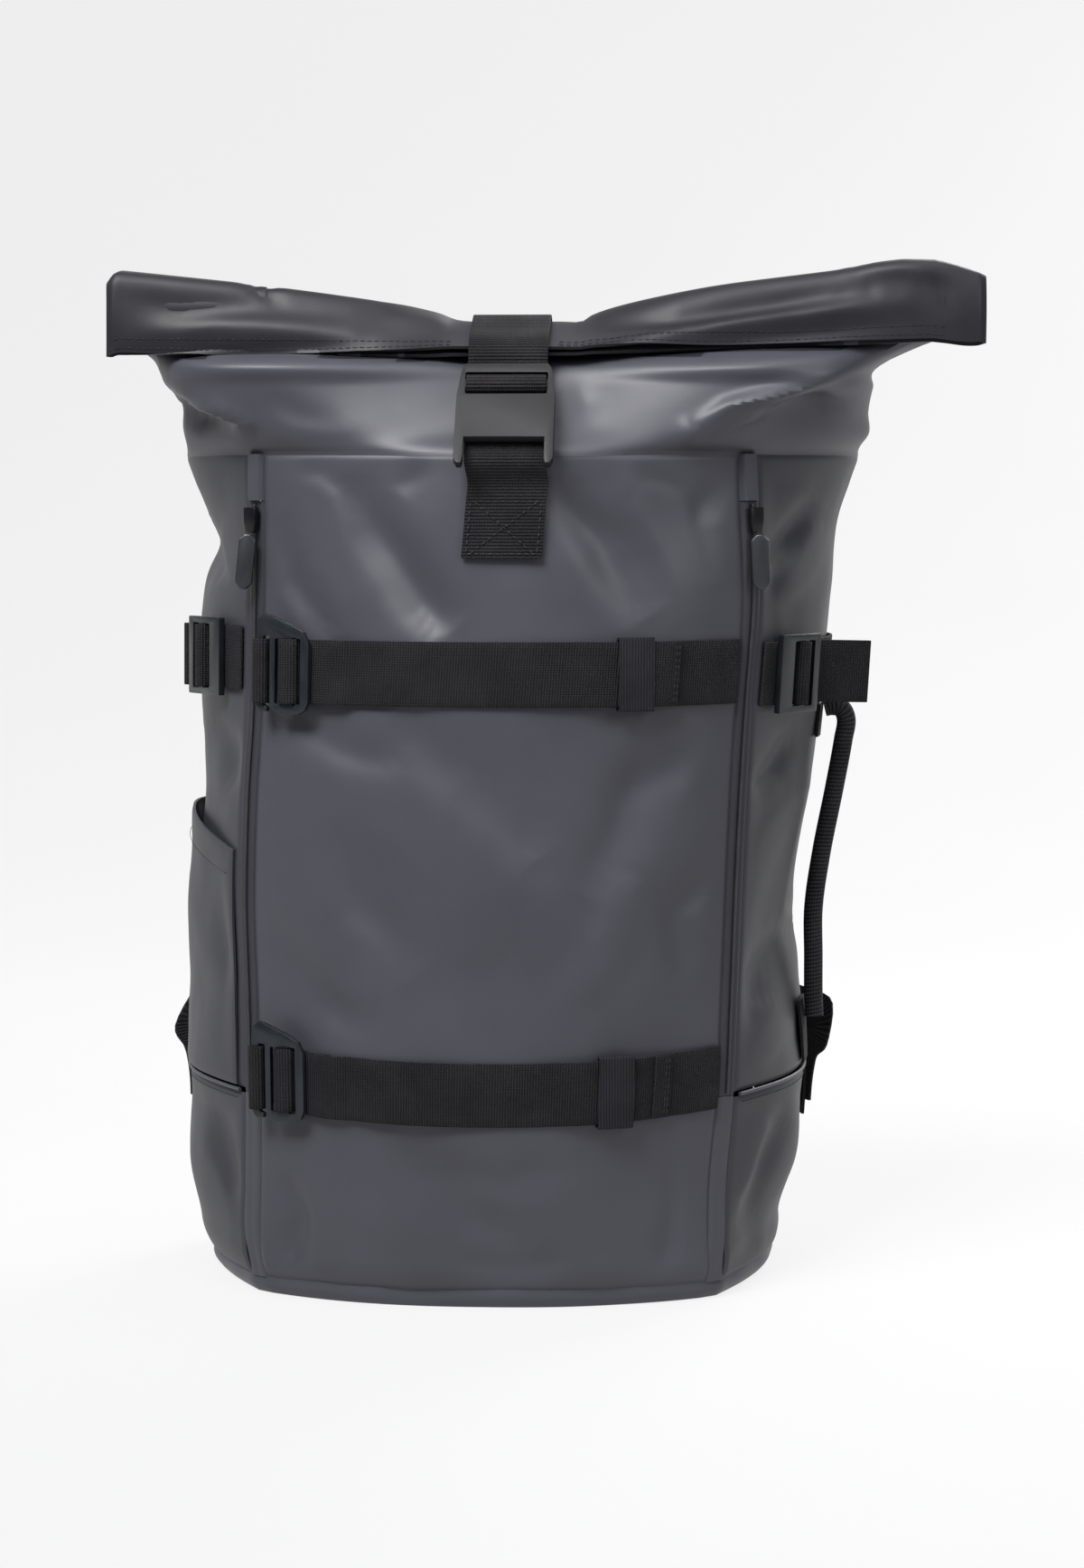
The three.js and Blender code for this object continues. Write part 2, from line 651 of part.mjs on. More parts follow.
const KEEPER = { width: 17, thick: 1.1, room: 0.8, fromSeam: 49 };
const HOOK_FROM_SEAM = 18; // left zip seam to the middle bar of the hook
const TAIL = 20; // webbing that returns behind the hook and is sewn down

// The strap goes round the hook's middle bar, lies on the front and ends in the right zip seam.
function frontStrap(name, height, sag, tilt) {
  const at = (x) => height - sag * (1 - (x / (FRONT_WIDTH / 2)) ** 2);
  const section = sectionAt(height / BODY_HEIGHT);
  const left = lean(height) - (FRONT_WIDTH / 2) * section.frontLeft;
  const right = lean(height) + (FRONT_WIDTH / 2) * section.frontRight;
  const bar = left + HOOK_FROM_SEAM;
  const frame = seatFrame(frontPlace(bar, height), height, tilt);
  const keeperX = right - KEEPER.fromSeam;
  const raised = LYING + KEEPER.thick + KEEPER.room;
  const on = (x, lift) => onBody(frontPlace(x, at(x)), at(x), lift);
  const round = HOOK.bar + WEB / 2 + GAP * 2.4;
  const barZ = HOOK.lift + HOOK.thick / 2;
  const top = HOOK.lift + HOOK.thick + WEB / 2 + GAP * 1.5;
  const under = HOOK.lift - WEB / 2 - GAP;
  const route = [
    on(bar + TAIL, LYING),
    on(bar + 7, LYING),
    inFrame(frame, -1.2, LYING + 0.5),
    inFrame(frame, -round + 0.4, LYING + 2.1),
    ...roundBar(round, barZ, HOOK.thick, top).map(([x, z]) => inFrame(frame, x, z)),
    inFrame(frame, round + 1, under + 0.8),
    inFrame(frame, round + 3.5, under - 0.1),
    on(bar + HOOK.right + 2.5, OVER),
    on(bar + TAIL + 3, OVER),
    on(bar + TAIL + 9, LYING),
    ...steps(bar + TAIL + 22, keeperX - KEEPER.width / 2 - 16, 6).map((x) => on(x, LYING)),
    ...steps(keeperX - KEEPER.width / 2 - 4, keeperX + KEEPER.width / 2 + 4, 2)
      .map((x) => on(x, raised)),
    ...steps(keeperX + KEEPER.width / 2 + 12, right - 1.2, 2).map((x) => on(x, LYING)),
  ];
  add("strap_" + name, webbing(route, STRAP), "webbing");
  add("g_hook_" + name, plate(hookShape(), HOOK.thick, HOOK.lift, frame), "hook");
  add("hook_loop_" + name, hookLoop(frame), "webbing");
  add("keeper_" + name, keeper(keeperX, at(keeperX)), "elastic");
}

// A loop of webbing that comes out of the left zip seam and goes once round the arm of the hook.
function hookLoop(frame) {
  const { arm, armIn, lift, thick } = HOOK;
  const middle = (arm + armIn) / 2;
  const reach = (arm - armIn) / 2 + GAP * 1.6 + WEB / 2;
  const top = lift + thick + WEB / 2 + GAP * 1.6;
  const over = roundBar(reach, lift + thick / 2, thick, top, -middle).reverse();
  const route = [
    [-middle - 1, LYING],
    [-middle + 0.8, LYING + 0.3],
    [-middle + reach - 0.3, lift * 0.5],
    ...over,
    [-middle - reach - 0.1, lift * 0.5],
    [-middle - reach, LYING + 0.2],
  ].map(([x, z]) => inFrame(frame, x, z));
  return webbing(route, STRAP);
}

// Elastic keeper: a ring round the strap, whose back lies between the strap and the cloth.
function keeper(x, z) {
  const high = STRAP / 2 + GAP * 3;
  const { thick, room } = KEEPER;
  const top = GAP * 1.5 + thick + WEB + room * 2;
  const shape = outline(box2(-high - thick, high + thick, GAP * 1.5, top + thick));
  shape.holes.push(outline(box2(-high, high, GAP * 1.5 + thick, top)));
  const frame = seatFrame(frontPlace(x, z), z);
  const turned = new THREE.Matrix4().makeBasis(
    new THREE.Vector3(0, 1, 0),
    new THREE.Vector3(0, 0, 1),
    new THREE.Vector3(1, 0, 0),
  );
  return plate(shape, KEEPER.width, -KEEPER.width / 2, frame.multiply(turned));
}

// Ladder lock on each side. X values are from its middle bar, towards the back of the bag.
const LADDER = {
  high: STRAP / 2 + 0.6,
  rail: 3,
  bar: 1.8,
  slot: 8,
  front: 18,
  rear: 12.5,
  thick: 3.2,
  lift: 5,
};
const SIDE_LOCKS = {
  left: { place: 2.31, height: 303, turn: -10, tail: 6 },
  right: { place: 2.26, height: 296, turn: 10, tail: 30 },
};

function ladderShape(sense, sizes) {
  const { high, rail, bar, slot, front, rear } = sizes;
  const turned = (points) => outline(points.map(([x, y]) => [x * sense, y]));
  const shape = turned(box2(-front, rear, -high - rail, high + rail));
  shape.holes.push(turned(box2(bar, slot, -high, high)));
  shape.holes.push(turned(box2(-slot, -bar, -high + SLOT_STEP, high - SLOT_STEP)));
  return shape;
}

// Two straps meet in the lock: a short one from the zip seam ends under its wide front bar, and one
// from the back seam goes up round its middle bar and comes back as a tail.
function sideStrap(side) {
  const { place, height, turn, tail } = SIDE_LOCKS[side];
  const sense = side === "right" ? 1 : -1;
  const around = side === "right" ? place : 9 - place;
  const at = (offset) => (side === "right" ? offset : 9 - offset);
  const frame = seatFrame(around, height, -turn);
  const local = (x, z) => inFrame(frame, x * sense, z);
  const on = (offset, lift) => onBody(at(offset), height, lift);
  const { bar, slot, rear, thick, lift } = LADDER;
  const round = bar + WEB / 2 + GAP * 2;
  const top = lift + thick + WEB / 2 + GAP * 2;
  const barZ = lift + thick / 2;
  const order = (route) => (side === "right" ? route : [...route].reverse());
  const front = [
    on(2.03, LYING),
    on(2.07, LYING),
    local(-LADDER.front + 2, lift - LYING),
    local(-slot - 1, lift - LYING),
  ];
  add("side_strap_front_" + side, webbing(order(front), STRAP), "webbing");
  const back = [
    ...[3.96, 3.67, 3.33, 3, 2.75, 2.6].map((offset) => on(offset, LYING + GAP)),
    local(slot, LYING + 0.4),
    local(-bar, LYING + 0.3),
    local(-round - 0.6, lift * 0.55),
    ...roundBar(round, barZ, thick, top).map(([x, z]) => local(x, z)),
    local(round + 0.8, lift * 0.85),
    local(slot + 0.6, lift - LYING),
    local(rear + 3, lift - LYING),
    local(rear + tail * 0.5, lift + tail * 0.12),
    local(rear + tail, lift + tail * 0.38),
  ];
  add("side_strap_back_" + side, webbing(order(back).reverse(), STRAP), "webbing");
  add("ladder_lock_" + side, plate(ladderShape(sense, LADDER), thick, lift, frame), "plastic");
}

// Zip slider on the coil, and the rubber puller that hangs from it.
const SLIDER = { wide: 7.5, high: 12, thick: 3.2, below: 9 };
const PULLER = { wide: 8.4, high: 26, thick: 2.6 };

function zipPulls() {
  for (const [side, place, tilt] of [["right", 1.5, -3], ["left", 7.5, 6]]) {
    const z = HOOD - SLIDER.below;
    const frame = seatFrame(place, z);
    const half = SLIDER.high / 2;
    const body = [
      [-SLIDER.wide / 2, half],
      [-SLIDER.wide / 2, 0],
      [-SLIDER.wide / 3, -half],
      [SLIDER.wide / 3, -half],
      [SLIDER.wide / 2, 0],
      [SLIDER.wide / 2, half],
    ];
    const lift = COIL + GAP;
    add("slider_" + side, plate(outline(body), SLIDER.thick, lift, frame), "hook");
    const level = new THREE.Vector3(0, -1, 0);
    const pull = new THREE.Matrix4().makeBasis(
      new THREE.Vector3(1, 0, 0),
      UP,
      level,
    );
    const turn = new THREE.Matrix4().makeRotationZ(THREE.MathUtils.degToRad(-tilt));
    const start = bodyPoint(place, z - half, lift + SLIDER.thick + GAP);
    const tab = box2(-PULLER.wide / 2, PULLER.wide / 2, -PULLER.high - GAP, -GAP, PULLER.wide / 3);
    const hang = pull.setPosition(start).multiply(turn);
    add("puller_" + side, plate(outline(tab), PULLER.thick, 0, hang), "rubber");
  }
}

// Buckle: x across, y up its slope and z out of it, from the middle of its height.
const BUCKLE = {
  x: 12.6,
  y: -0.91, // share of half of BODY_DEPTH
  rise: 16, // above the top seam
  slope: 52, // degrees up from the floor
  half: 22.6,
  top: 29,
  foot: -29,
  plateLow: -14,
  ear: 4.2,
  slotLow: 11,
  slotTop: 23.6,
  barLow: 15.2,
  barTop: 19.2,
  thick: 4,
};

function buckleFrame() {
  const slope = THREE.MathUtils.degToRad(BUCKLE.slope);
  const along = new THREE.Vector3(1, 0, 0);
  const rise = new THREE.Vector3(0, Math.cos(slope), Math.sin(slope));
  const place = new THREE.Vector3(
    BUCKLE.x,
    (BUCKLE.y * BODY_DEPTH) / 2,
    BODY_HEIGHT + BUCKLE.rise,
  );
  return new THREE.Matrix4().makeBasis(along, rise, along.clone().cross(rise)).setPosition(place);
}

function buckleShape() {
  const { half, top, foot, plateLow, ear, slotLow, slotTop, barLow, barTop } = BUCKLE;
  const shape = outline([
    [-half, foot + 3],
    [-half + 1.4, foot],
    [-half + ear - 0.6, foot],
    [-half + ear, foot + 3],
    [-half + ear, plateLow],
    [half - ear, plateLow],
    [half - ear, foot + 3],
    [half - ear + 0.6, foot],
    [half - 1.4, foot],
    [half, foot + 3],
    [half, slotLow - 1],
    [half - 2, top - 3],
    [half - 4, top],
    [-half + 4, top],
    [-half + 2, top - 3],
    [-half, slotLow - 1],
  ]);
  const wide = TOP_STRAP / 2;
  shape.holes.push(outline(box2(-wide, wide, barTop, slotTop)));
  shape.holes.push(outline(box2(-wide + SLOT_STEP, wide - SLOT_STEP, slotLow, barLow)));
  return shape;
}

// The top strap is sewn to the back, runs over the collar and the roll, goes round the hidden
// middle bar of the buckle and ends behind its top bar. The hook of the buckle is a plain bar that
// the lower webbing carries.
function topClosure() {
  const frame = buckleFrame();
  const { x, thick, top, barLow, barTop, plateLow } = BUCKLE;
  const across = new THREE.Vector3(-1, 0, 0);
  const at = (y, z) => ({ point: new THREE.Vector3(x, y, z), wide: across });
  const local = (y, z) => ({
    point: new THREE.Vector3(0, y, z).applyMatrix4(frame),
    wide: across,
  });
  const width = TOP_STRAP - 4 * GAP;
  const overRoll = (stage, lift) => {
    const found = rollPoint(2, false, stage, lift);
    return at(found.y, found.z);
  };
  const bar = (barLow + barTop) / 2;
  const reach = (barTop - barLow) / 2 + WEB / 2 + GAP * 3;
  const over = thick + WEB / 2 + GAP * 2.6;
  const round = roundBar(reach, thick / 2, thick, over, bar).reverse();
  const backRow = (share, lift) => {
    const p = neckPoint(2, false, share);
    return at(p.y + lift * 0.6, p.z + lift * 0.8);
  };
  const route = [
    at(BACK_Y + LYING, BODY_HEIGHT - 28),
    at(BACK_Y + LYING, BODY_HEIGHT - 4),
    at(BACK_Y + LYING - 0.5, BODY_HEIGHT + 3),
    ...[0.22, 0.48, 0.75, 1].map((share) => backRow(share, 2.2)),
    ...[1.15, 1.45, 1.75, 2.05, 2.5, 2.96].map((stage) => overRoll(stage, LYING + 1.4)),
    local(top + 7, LYING * 1.5),
    local(top + 1, -LYING),
    local(top - 5, -LYING),
    ...round.map(([y, z]) => local(y, z)),
    local(bar - reach - 0.2, -LYING - 0.6),
    local(bar + 1, -OVER),
    local(top, -OVER),
  ];
  add("top_strap", webbing(route, width), "webbing");
  add("buckle", plate(buckleShape(), thick, 0, frame), "plastic");
  const hookHalf = BUCKLE.half - BUCKLE.ear - 2 * GAP;
  const hook = outline(box2(-hookHalf, hookHalf, plateLow + 2, plateLow + 10));
  const hookThick = 2.4;
  add("buckle_hook", plate(hook, hookThick, -GAP - hookThick, frame), "plastic");
  const behind = -GAP * 2 - hookThick - WEB / 2;
  const place = frontPlace(x, BODY_HEIGHT - 30);
  const on = (z) => ({ point: bodyPoint(place, z, LYING), wide: across });
  const lower = [
    ...[48, 40, 30, 20, 14].map((down) => on(BODY_HEIGHT - down)),
    local(plateLow - 7, behind - 0.5),
    local(plateLow + 9, behind),
  ];
  add("lower_webbing", webbing(lower, TOP_STRAP - 4 * GAP), "webbing");
}

function tube(points, diameter, sides, count) {
  const route = new THREE.CatmullRomCurve3(points);
  const section = Array.from({ length: sides }, (_, i) => {
    const angle = (2 * Math.PI * i) / sides;
    return [(diameter / 2) * Math.cos(angle), (diameter / 2) * Math.sin(angle)];
  });
  const settings = { steps: count, extrudePath: route, bevelEnabled: false };
  return new THREE.ExtrudeGeometry(outline(section), settings);
}

// Handle on the right side: a round tube of webbing that stands off the side between two tabs.
const HANDLE_PLACE = 2.85;
const HANDLE_ROUTE = [
  // height as a share of BODY_HEIGHT, distance of its middle from the tabs as a share of HANDLE
  [0.69, 0.1],
  [0.6915, 0.465],
  [0.689, 1.053],
  [0.677, 1.394],
  [0.65, 1.359],
  [0.59, 1.171],
  [0.51, 1.112],
  [0.44, 0.994],
  [0.38, 0.818],
  [0.335, 0.629],
  [0.305, 0.547],
];

function sideHandle() {
  const onTab = GAP * 1.5 + WEB;
  const points = HANDLE_ROUTE.map(([share, off]) =>
    bodyPoint(HANDLE_PLACE, share * BODY_HEIGHT, onTab + off * HANDLE),
  );
  add("side_handle", tube(points, HANDLE, 8, 24), "webbing");
  const places = [HANDLE_PLACE - 0.12, HANDLE_PLACE, HANDLE_PLACE + 0.12];
  const on = { lift: () => onTab, thick: WEB, trim: 0 };
  const top = HANDLE_ROUTE[0][0] * BODY_HEIGHT;
  const foot = HANDLE_ROUTE[HANDLE_ROUTE.length - 1][0] * BODY_HEIGHT;
  add("handle_tab_top", panel(places, [top - 14, top - 6, top + 2], on), "webbing");
  add("handle_tab_foot", panel(places, [foot - 21, foot - 12, foot, foot + 9], on), "webbing");
}

// A padded panel: a flat back face and a face that is crowned towards the outside.
function padded(columns, rows, place, thick) {
  const outer = [];
  const inner = [];
  for (const u of columns) {
    const crown = (v) => thick * (1 - u ** 6) ** 0.5 * (1 - v ** 6) ** 0.5;
    outer.push(rows.map((v) => place(u, v, 1 + crown(v))));
    inner.push(rows.map((v) => place(u, v, 0)));
  }
  return closedSheet(outer, inner);
}

const BACK_PAD = { width: 212, low: 52, high: 366 };

function backPad() {
  const middle = (BACK_PAD.low + BACK_PAD.high) / 2;
  const halfHigh = (BACK_PAD.high - BACK_PAD.low) / 2;
  const place = (u, v, lift) => {
    const round = 1 - 0.08 * v ** 6;
    const z = middle + v * halfHigh * (1 - 0.04 * u ** 6);
    const x = (-u * round * BACK_PAD.width) / 2 + lean(z);
    return new THREE.Vector3(x, BACK_Y + GAP * 1.5 + lift, z);
  };
  const columns = [-1, -0.93, -0.6, -0.1, 0.1, 0.6, 0.93, 1];
  const rows = [-1, -0.96, -0.7, -0.35, 0, 0.35, 0.7, 0.96, 1];
  return padded(columns, rows, place, PAD);
}

// Route of a shoulder strap: side, depth behind the back and height as shares of half of
// BODY_WIDTH, half of BODY_DEPTH and BODY_HEIGHT.
const SHOULDER_ROUTE = [
  [0.29, 0.0305, 0.93],
  [0.3, 0.075, 0.965],
  [0.33, 0.34, 0.955],
  [0.38, 0.5, 0.9],
  [0.45, 0.57, 0.8],
  [0.52, 0.55, 0.68],
  [0.58, 0.47, 0.57],
  [0.64, 0.38, 0.475],
  [0.7, 0.32, 0.4],
  [0.8, 0.27, 0.335],
  [0.93, 0.16, 0.3],
  [1.055, 0.02, 0.28],
];
const SHOULDER = { length: 246, rows: 14, skin: 1.2, lap: 8, adjuster: 24, adjusterThick: 3, slack: 1.8, apart: 2.6 };
const ANCHOR = { place: 3.5, low: 68, high: 91, edges: [3.1, 3.33, 3.67] };

function shoulderStrap(side, sense) {
  const at = (offset) => (side === "right" ? offset : 9 - offset);
  const spot = ([x, y, z]) => new THREE.Vector3(
    (sense * x * BODY_WIDTH) / 2 + lean(z * BODY_HEIGHT),
    BACK_Y + (y * BODY_DEPTH) / 2,
    z * BODY_HEIGHT,
  );
  const foot = [
    bodyPoint(at(ANCHOR.place), ANCHOR.high + 7, 6),
    bodyPoint(at(ANCHOR.place), ANCHOR.high - 3, OVER),
    bodyPoint(at(ANCHOR.place), ANCHOR.low + 5, OVER),
  ];
  const path = new THREE.CatmullRomCurve3([...SHOULDER_ROUTE.map(spot), ...foot]);
  const total = path.getLength();
  const footOff = levelOut(at(ANCHOR.place), ANCHOR.low);
  const footWide = new THREE.Vector3(-footOff.y, footOff.x, 0);
  // Frame at a length along the route: run, width and the way off the bag's back.
  const step = (length) => {
    const point = path.getPointAt(length / total);
    const run = path.getTangentAt(length / total);
    const turned = Math.max(0, length - SHOULDER.length) / (total - SHOULDER.length);
    const wide = new THREE.Vector3(-1, 0, 0).lerp(footWide, turned);
    wide.addScaledVector(run, -run.dot(wide)).normalize();
    return { point, run, wide, off: run.clone().cross(wide) };
  };
  const columns = [-1, -0.75, 0, 0.75, 1];
  const outer = columns.map(() => []);
  const inner = columns.map(() => []);
  for (let j = 0; j <= SHOULDER.rows; j++) {
    const { point, wide, off } = step((SHOULDER.length * j) / SHOULDER.rows);
    const end = SHOULDER.rows - j;
    const share = Math.min(1, 0.6 + 0.2 * j, 0.5 + 0.25 * end);
    const full = Math.min(1, 0.25 + 0.35 * Math.min(j, end));
    columns.forEach((u, i) => {
      const place = point.clone().addScaledVector(wide, (u * share * SHOULDER_WIDTH) / 2);
      const soft = Math.abs(u) === 1 ? 0.1 : 1;
      const thick = SHOULDER.skin + (SHOULDER_PAD - SHOULDER.skin) * soft * full;
      outer[i].push(place.clone().addScaledVector(off, thick / 2));
      inner[i].push(place.clone().addScaledVector(off, -thick / 2));
    });
  }
  add("shoulder_pad_" + side, closedSheet(inner, outer), "mesh");
  const low = SHOULDER.adjusterThick / 2 + WEB / 2 + SHOULDER.slack;
  const below = SHOULDER.adjuster + 2;
  const under = new THREE.LinearInterpolant(
    [-SHOULDER.lap, 0, 4, below, below + 20],
    [low + WEB, low + WEB / 2, low, low, 0],
    1,
  );
  const lengths = steps(SHOULDER.length - SHOULDER.lap, total - 1, 18);
  const route = lengths.map((length) => {
    const { point, wide, off } = step(length);
    return { point: point.addScaledVector(off, -under.evaluate(length - SHOULDER.length)[0]), wide };
  });
  add("shoulder_web_" + side, webbing(route, SHOULDER_WEB), "webbing");
  adjuster(side, step);
  const places = ANCHOR.edges.map(at);
  const sorted = side === "right" ? places : places.reverse();
  const tab = { lift: () => GAP * 1.5 + WEB, thick: WEB, trim: 0 };
  add("anchor_tab_" + side, panel(sorted, rowsBetween(ANCHOR.low, ANCHOR.high), tab), "cloth");
}

// The adjuster lies on the webbing, just below the end of the padded strap.
function adjuster(side, step) {
  const { adjuster: high, adjusterThick: thick, length } = SHOULDER;
  const { point, run, wide, off } = step(length + SHOULDER.apart + high / 2);
  const frame = new THREE.Matrix4().makeBasis(wide, run.clone().negate(), off);
  frame.setPosition(point);
  const half = SHOULDER_WEB / 2 + 0.6;
  const shape = outline(box2(-half - 3, half + 3, -high / 2, high / 2, 3));
  shape.holes.push(outline(box2(-half, half, 2.2, high / 2 - 3)));
  shape.holes.push(outline(box2(-half + SLOT_STEP, half - SLOT_STEP, -high / 2 + 3, -2.2)));
  add("adjuster_" + side, plate(shape, thick, -thick / 2, frame), "plastic");
}

bodyPanels();
zipStrips();
add("base_panel", base(), "cloth");
add("pocket_left", pocket(), "cloth");
add("collar", collar(), "cloth");
frontStrap("upper", UPPER_STRAP, 0, 8);
frontStrap("lower", LOWER_STRAP, STRAP_SAG, 8);
sideStrap("left");
sideStrap("right");
zipPulls();
topClosure();
sideHandle();
add("back_pad", backPad(), "mesh");
shoulderStrap("right", 1);
shoulderStrap("left", -1);

export default bag;
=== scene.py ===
# %% [markdown]
# # A rolltop backpack in coated cloth
# The CAD model fixes the size and place of every piece of this bag. Here each soft piece is made again
# with its folds, seams and stitches, the hard pieces get round edges, and everything gets its finish.
# All lengths in the cells are in millimetres, because a bag maker works in them. They are turned into
# metres where a mesh is written.

# %% Load the fixed model
import math

import bmesh
import bpy
import numpy as np
from mathutils import Matrix, Vector, kdtree, noise


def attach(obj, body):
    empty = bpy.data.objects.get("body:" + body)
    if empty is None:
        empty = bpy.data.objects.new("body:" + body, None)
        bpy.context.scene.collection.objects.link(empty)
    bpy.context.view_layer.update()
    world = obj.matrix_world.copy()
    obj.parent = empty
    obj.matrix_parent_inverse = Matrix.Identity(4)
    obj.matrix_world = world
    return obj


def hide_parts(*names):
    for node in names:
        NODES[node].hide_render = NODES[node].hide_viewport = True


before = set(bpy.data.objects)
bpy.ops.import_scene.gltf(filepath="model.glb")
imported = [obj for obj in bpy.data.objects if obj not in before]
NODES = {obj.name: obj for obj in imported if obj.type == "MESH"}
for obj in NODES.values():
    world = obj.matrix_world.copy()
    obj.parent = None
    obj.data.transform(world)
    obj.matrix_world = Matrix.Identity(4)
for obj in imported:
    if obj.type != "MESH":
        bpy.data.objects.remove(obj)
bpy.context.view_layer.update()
MM = 0.001
print("nodes:", len(NODES))

# %% [markdown]
# ## Camera
# The photograph was taken with a long lens from a little above the middle of the bag and three degrees
# to its right. A long lens keeps the sides nearly parallel. The camera is turned by a look direction and
# not by an aim at some object, so that nothing has to be set up for it.

# %% Camera
LENS, SENSOR = 80.5, 36
PHOTO_WIDE, PHOTO_TALL = 1200, 1735
TURN = math.radians(3)
DOWN = math.radians(4.86)
to_right = Vector((math.cos(TURN), math.sin(TURN), 0))
ahead = Vector((-math.sin(TURN), math.cos(TURN), 0))
eye = 0.025 * to_right - 1.690 * ahead + Vector((0, 0, 0.384))
look = ahead * math.cos(DOWN) - Vector((0, 0, math.sin(DOWN)))
bpy.ops.object.camera_add(location=eye, rotation=look.to_track_quat("-Z", "Y").to_euler())
camera = bpy.context.object
camera.data.sensor_fit = "VERTICAL"
camera.data.sensor_height = SENSOR
camera.data.lens = LENS
bpy.context.scene.camera = camera
FOCAL = LENS / SENSOR * PHOTO_TALL  # in pixels of the photograph


def in_photo(points):
    """Where points, in millimetres, lie in the photograph: across and down, in its pixels."""
    away = points * MM - np.array(eye)
    up = np.array(to_right.cross(look))
    deep = away @ np.array(look)
    across = PHOTO_WIDE / 2 + FOCAL * (away @ np.array(to_right)) / deep
    down = PHOTO_TALL / 2 - FOCAL * (away @ up) / deep
    return np.stack([across, down], axis=-1)


# %% [markdown]
# ## Studio
# A pale sweep stands for the floor and the wall behind it, so no line shows between them. It starts as
# a plane whose far edge is extruded up, and a bevel rounds the fold. Four soft boxes light it: a key from
# the upper left with its spread narrowed, a fill from the right, one above and one behind. A pale room all
# round gives the coated cloth its broad, soft shine.

# %% Studio
bpy.ops.object.select_all(action="DESELECT")
bpy.ops.mesh.primitive_plane_add(size=1, location=(0, 0, 0))
sweep = bpy.context.object
sweep.name = "studio_sweep"
bpy.ops.object.mode_set(mode="EDIT")
bpy.ops.transform.resize(value=(9, 4.0, 1))
bpy.ops.transform.translate(value=(0, 0.6, -0.0002))
bpy.ops.mesh.select_all(action="DESELECT")
mesh_in_hand = bmesh.from_edit_mesh(sweep.data)
for edge in mesh_in_hand.edges:
    edge.select_set(all(v.co.y > 2 for v in edge.verts))
mesh_in_hand.select_flush_mode()
bmesh.update_edit_mesh(sweep.data)
bpy.ops.mesh.extrude_region_move(TRANSFORM_OT_translate={"value": (0, 0, 5)})
bpy.ops.object.mode_set(mode="OBJECT")
fold = sweep.modifiers.new("fold", "BEVEL")
fold.width, fold.segments = 1.6, 16
bpy.ops.object.modifier_apply(modifier="fold")
bpy.ops.object.shade_smooth()


def soft_box(name, place, aim, size, power, spread=180):
    """A rectangular lamp that looks at a point. A grid in front of it can narrow its spread."""
    turned = (Vector(aim) - Vector(place)).to_track_quat("-Z", "Y").to_euler()
    bpy.ops.object.light_add(type="AREA", location=place, rotation=turned)
    lamp = bpy.context.object
    lamp.name = name
    lamp.data.shape = "RECTANGLE"
    lamp.data.size, lamp.data.size_y = size
    lamp.data.energy = power
    lamp.data.spread = math.radians(spread)
    return lamp


soft_box("key_light", (-0.75, -1.2, 2.0), (0, 0, 0.5), (1.3, 1.0), 12.5, 56)
soft_box("fill_light", (1.5, -1.4, 1.3), (0, 0, 0.3), (0.6, 1.1), 15)
soft_box("top_light", (0.3, -0.2, 2.1), (0, 0, 0.4), (1.3, 0.7), 10)
soft_box("back_light", (1.1, 1.9, 1.5), (0, 0, 0.25), (1.2, 1.2), 42)
room = bpy.data.worlds.new("pale_room")
room.use_nodes = True
room.node_tree.nodes["Background"].inputs["Color"].default_value = (0.93, 0.94, 0.96, 1)
room.node_tree.nodes["Background"].inputs["Strength"].default_value = 0.2
bpy.context.scene.world = room
bpy.context.scene.view_settings.view_transform = "Standard"

# %% [markdown]
# ## Materials as sums
# A pattern is easier to read as a formula than as a web of nodes. A Wire holds one output of a node, and
# + - * ** on it add a Math node. A Finish is a material with one method that adds any other node. This
# keeps each finish down to a few lines that name what they do.


# %% Helpers for materials
class Wire:
    """One output of a node. Sums with it add Math nodes."""

    def __init__(self, finish, socket):
        self.finish, self.socket = finish, socket

    def math(self, operation, *others):
        node = self.finish.node("Math", {"operation": operation})
        for place, value in enumerate((self, *others)):
            self.finish.plug(node.inputs[place], value)
        return Wire(self.finish, node.outputs[0])

    def __add__(self, other):
        return self.math("ADD", other)

    def __sub__(self, other):
        return self.math("SUBTRACT", other)

    def __rsub__(self, other):
        return self.math("MULTIPLY_ADD", -1.0, other)

    def __mul__(self, other):
        return self.math("MULTIPLY", other)

    def __pow__(self, other):
        return self.math("POWER", other)

    __radd__, __rmul__ = __add__, __mul__


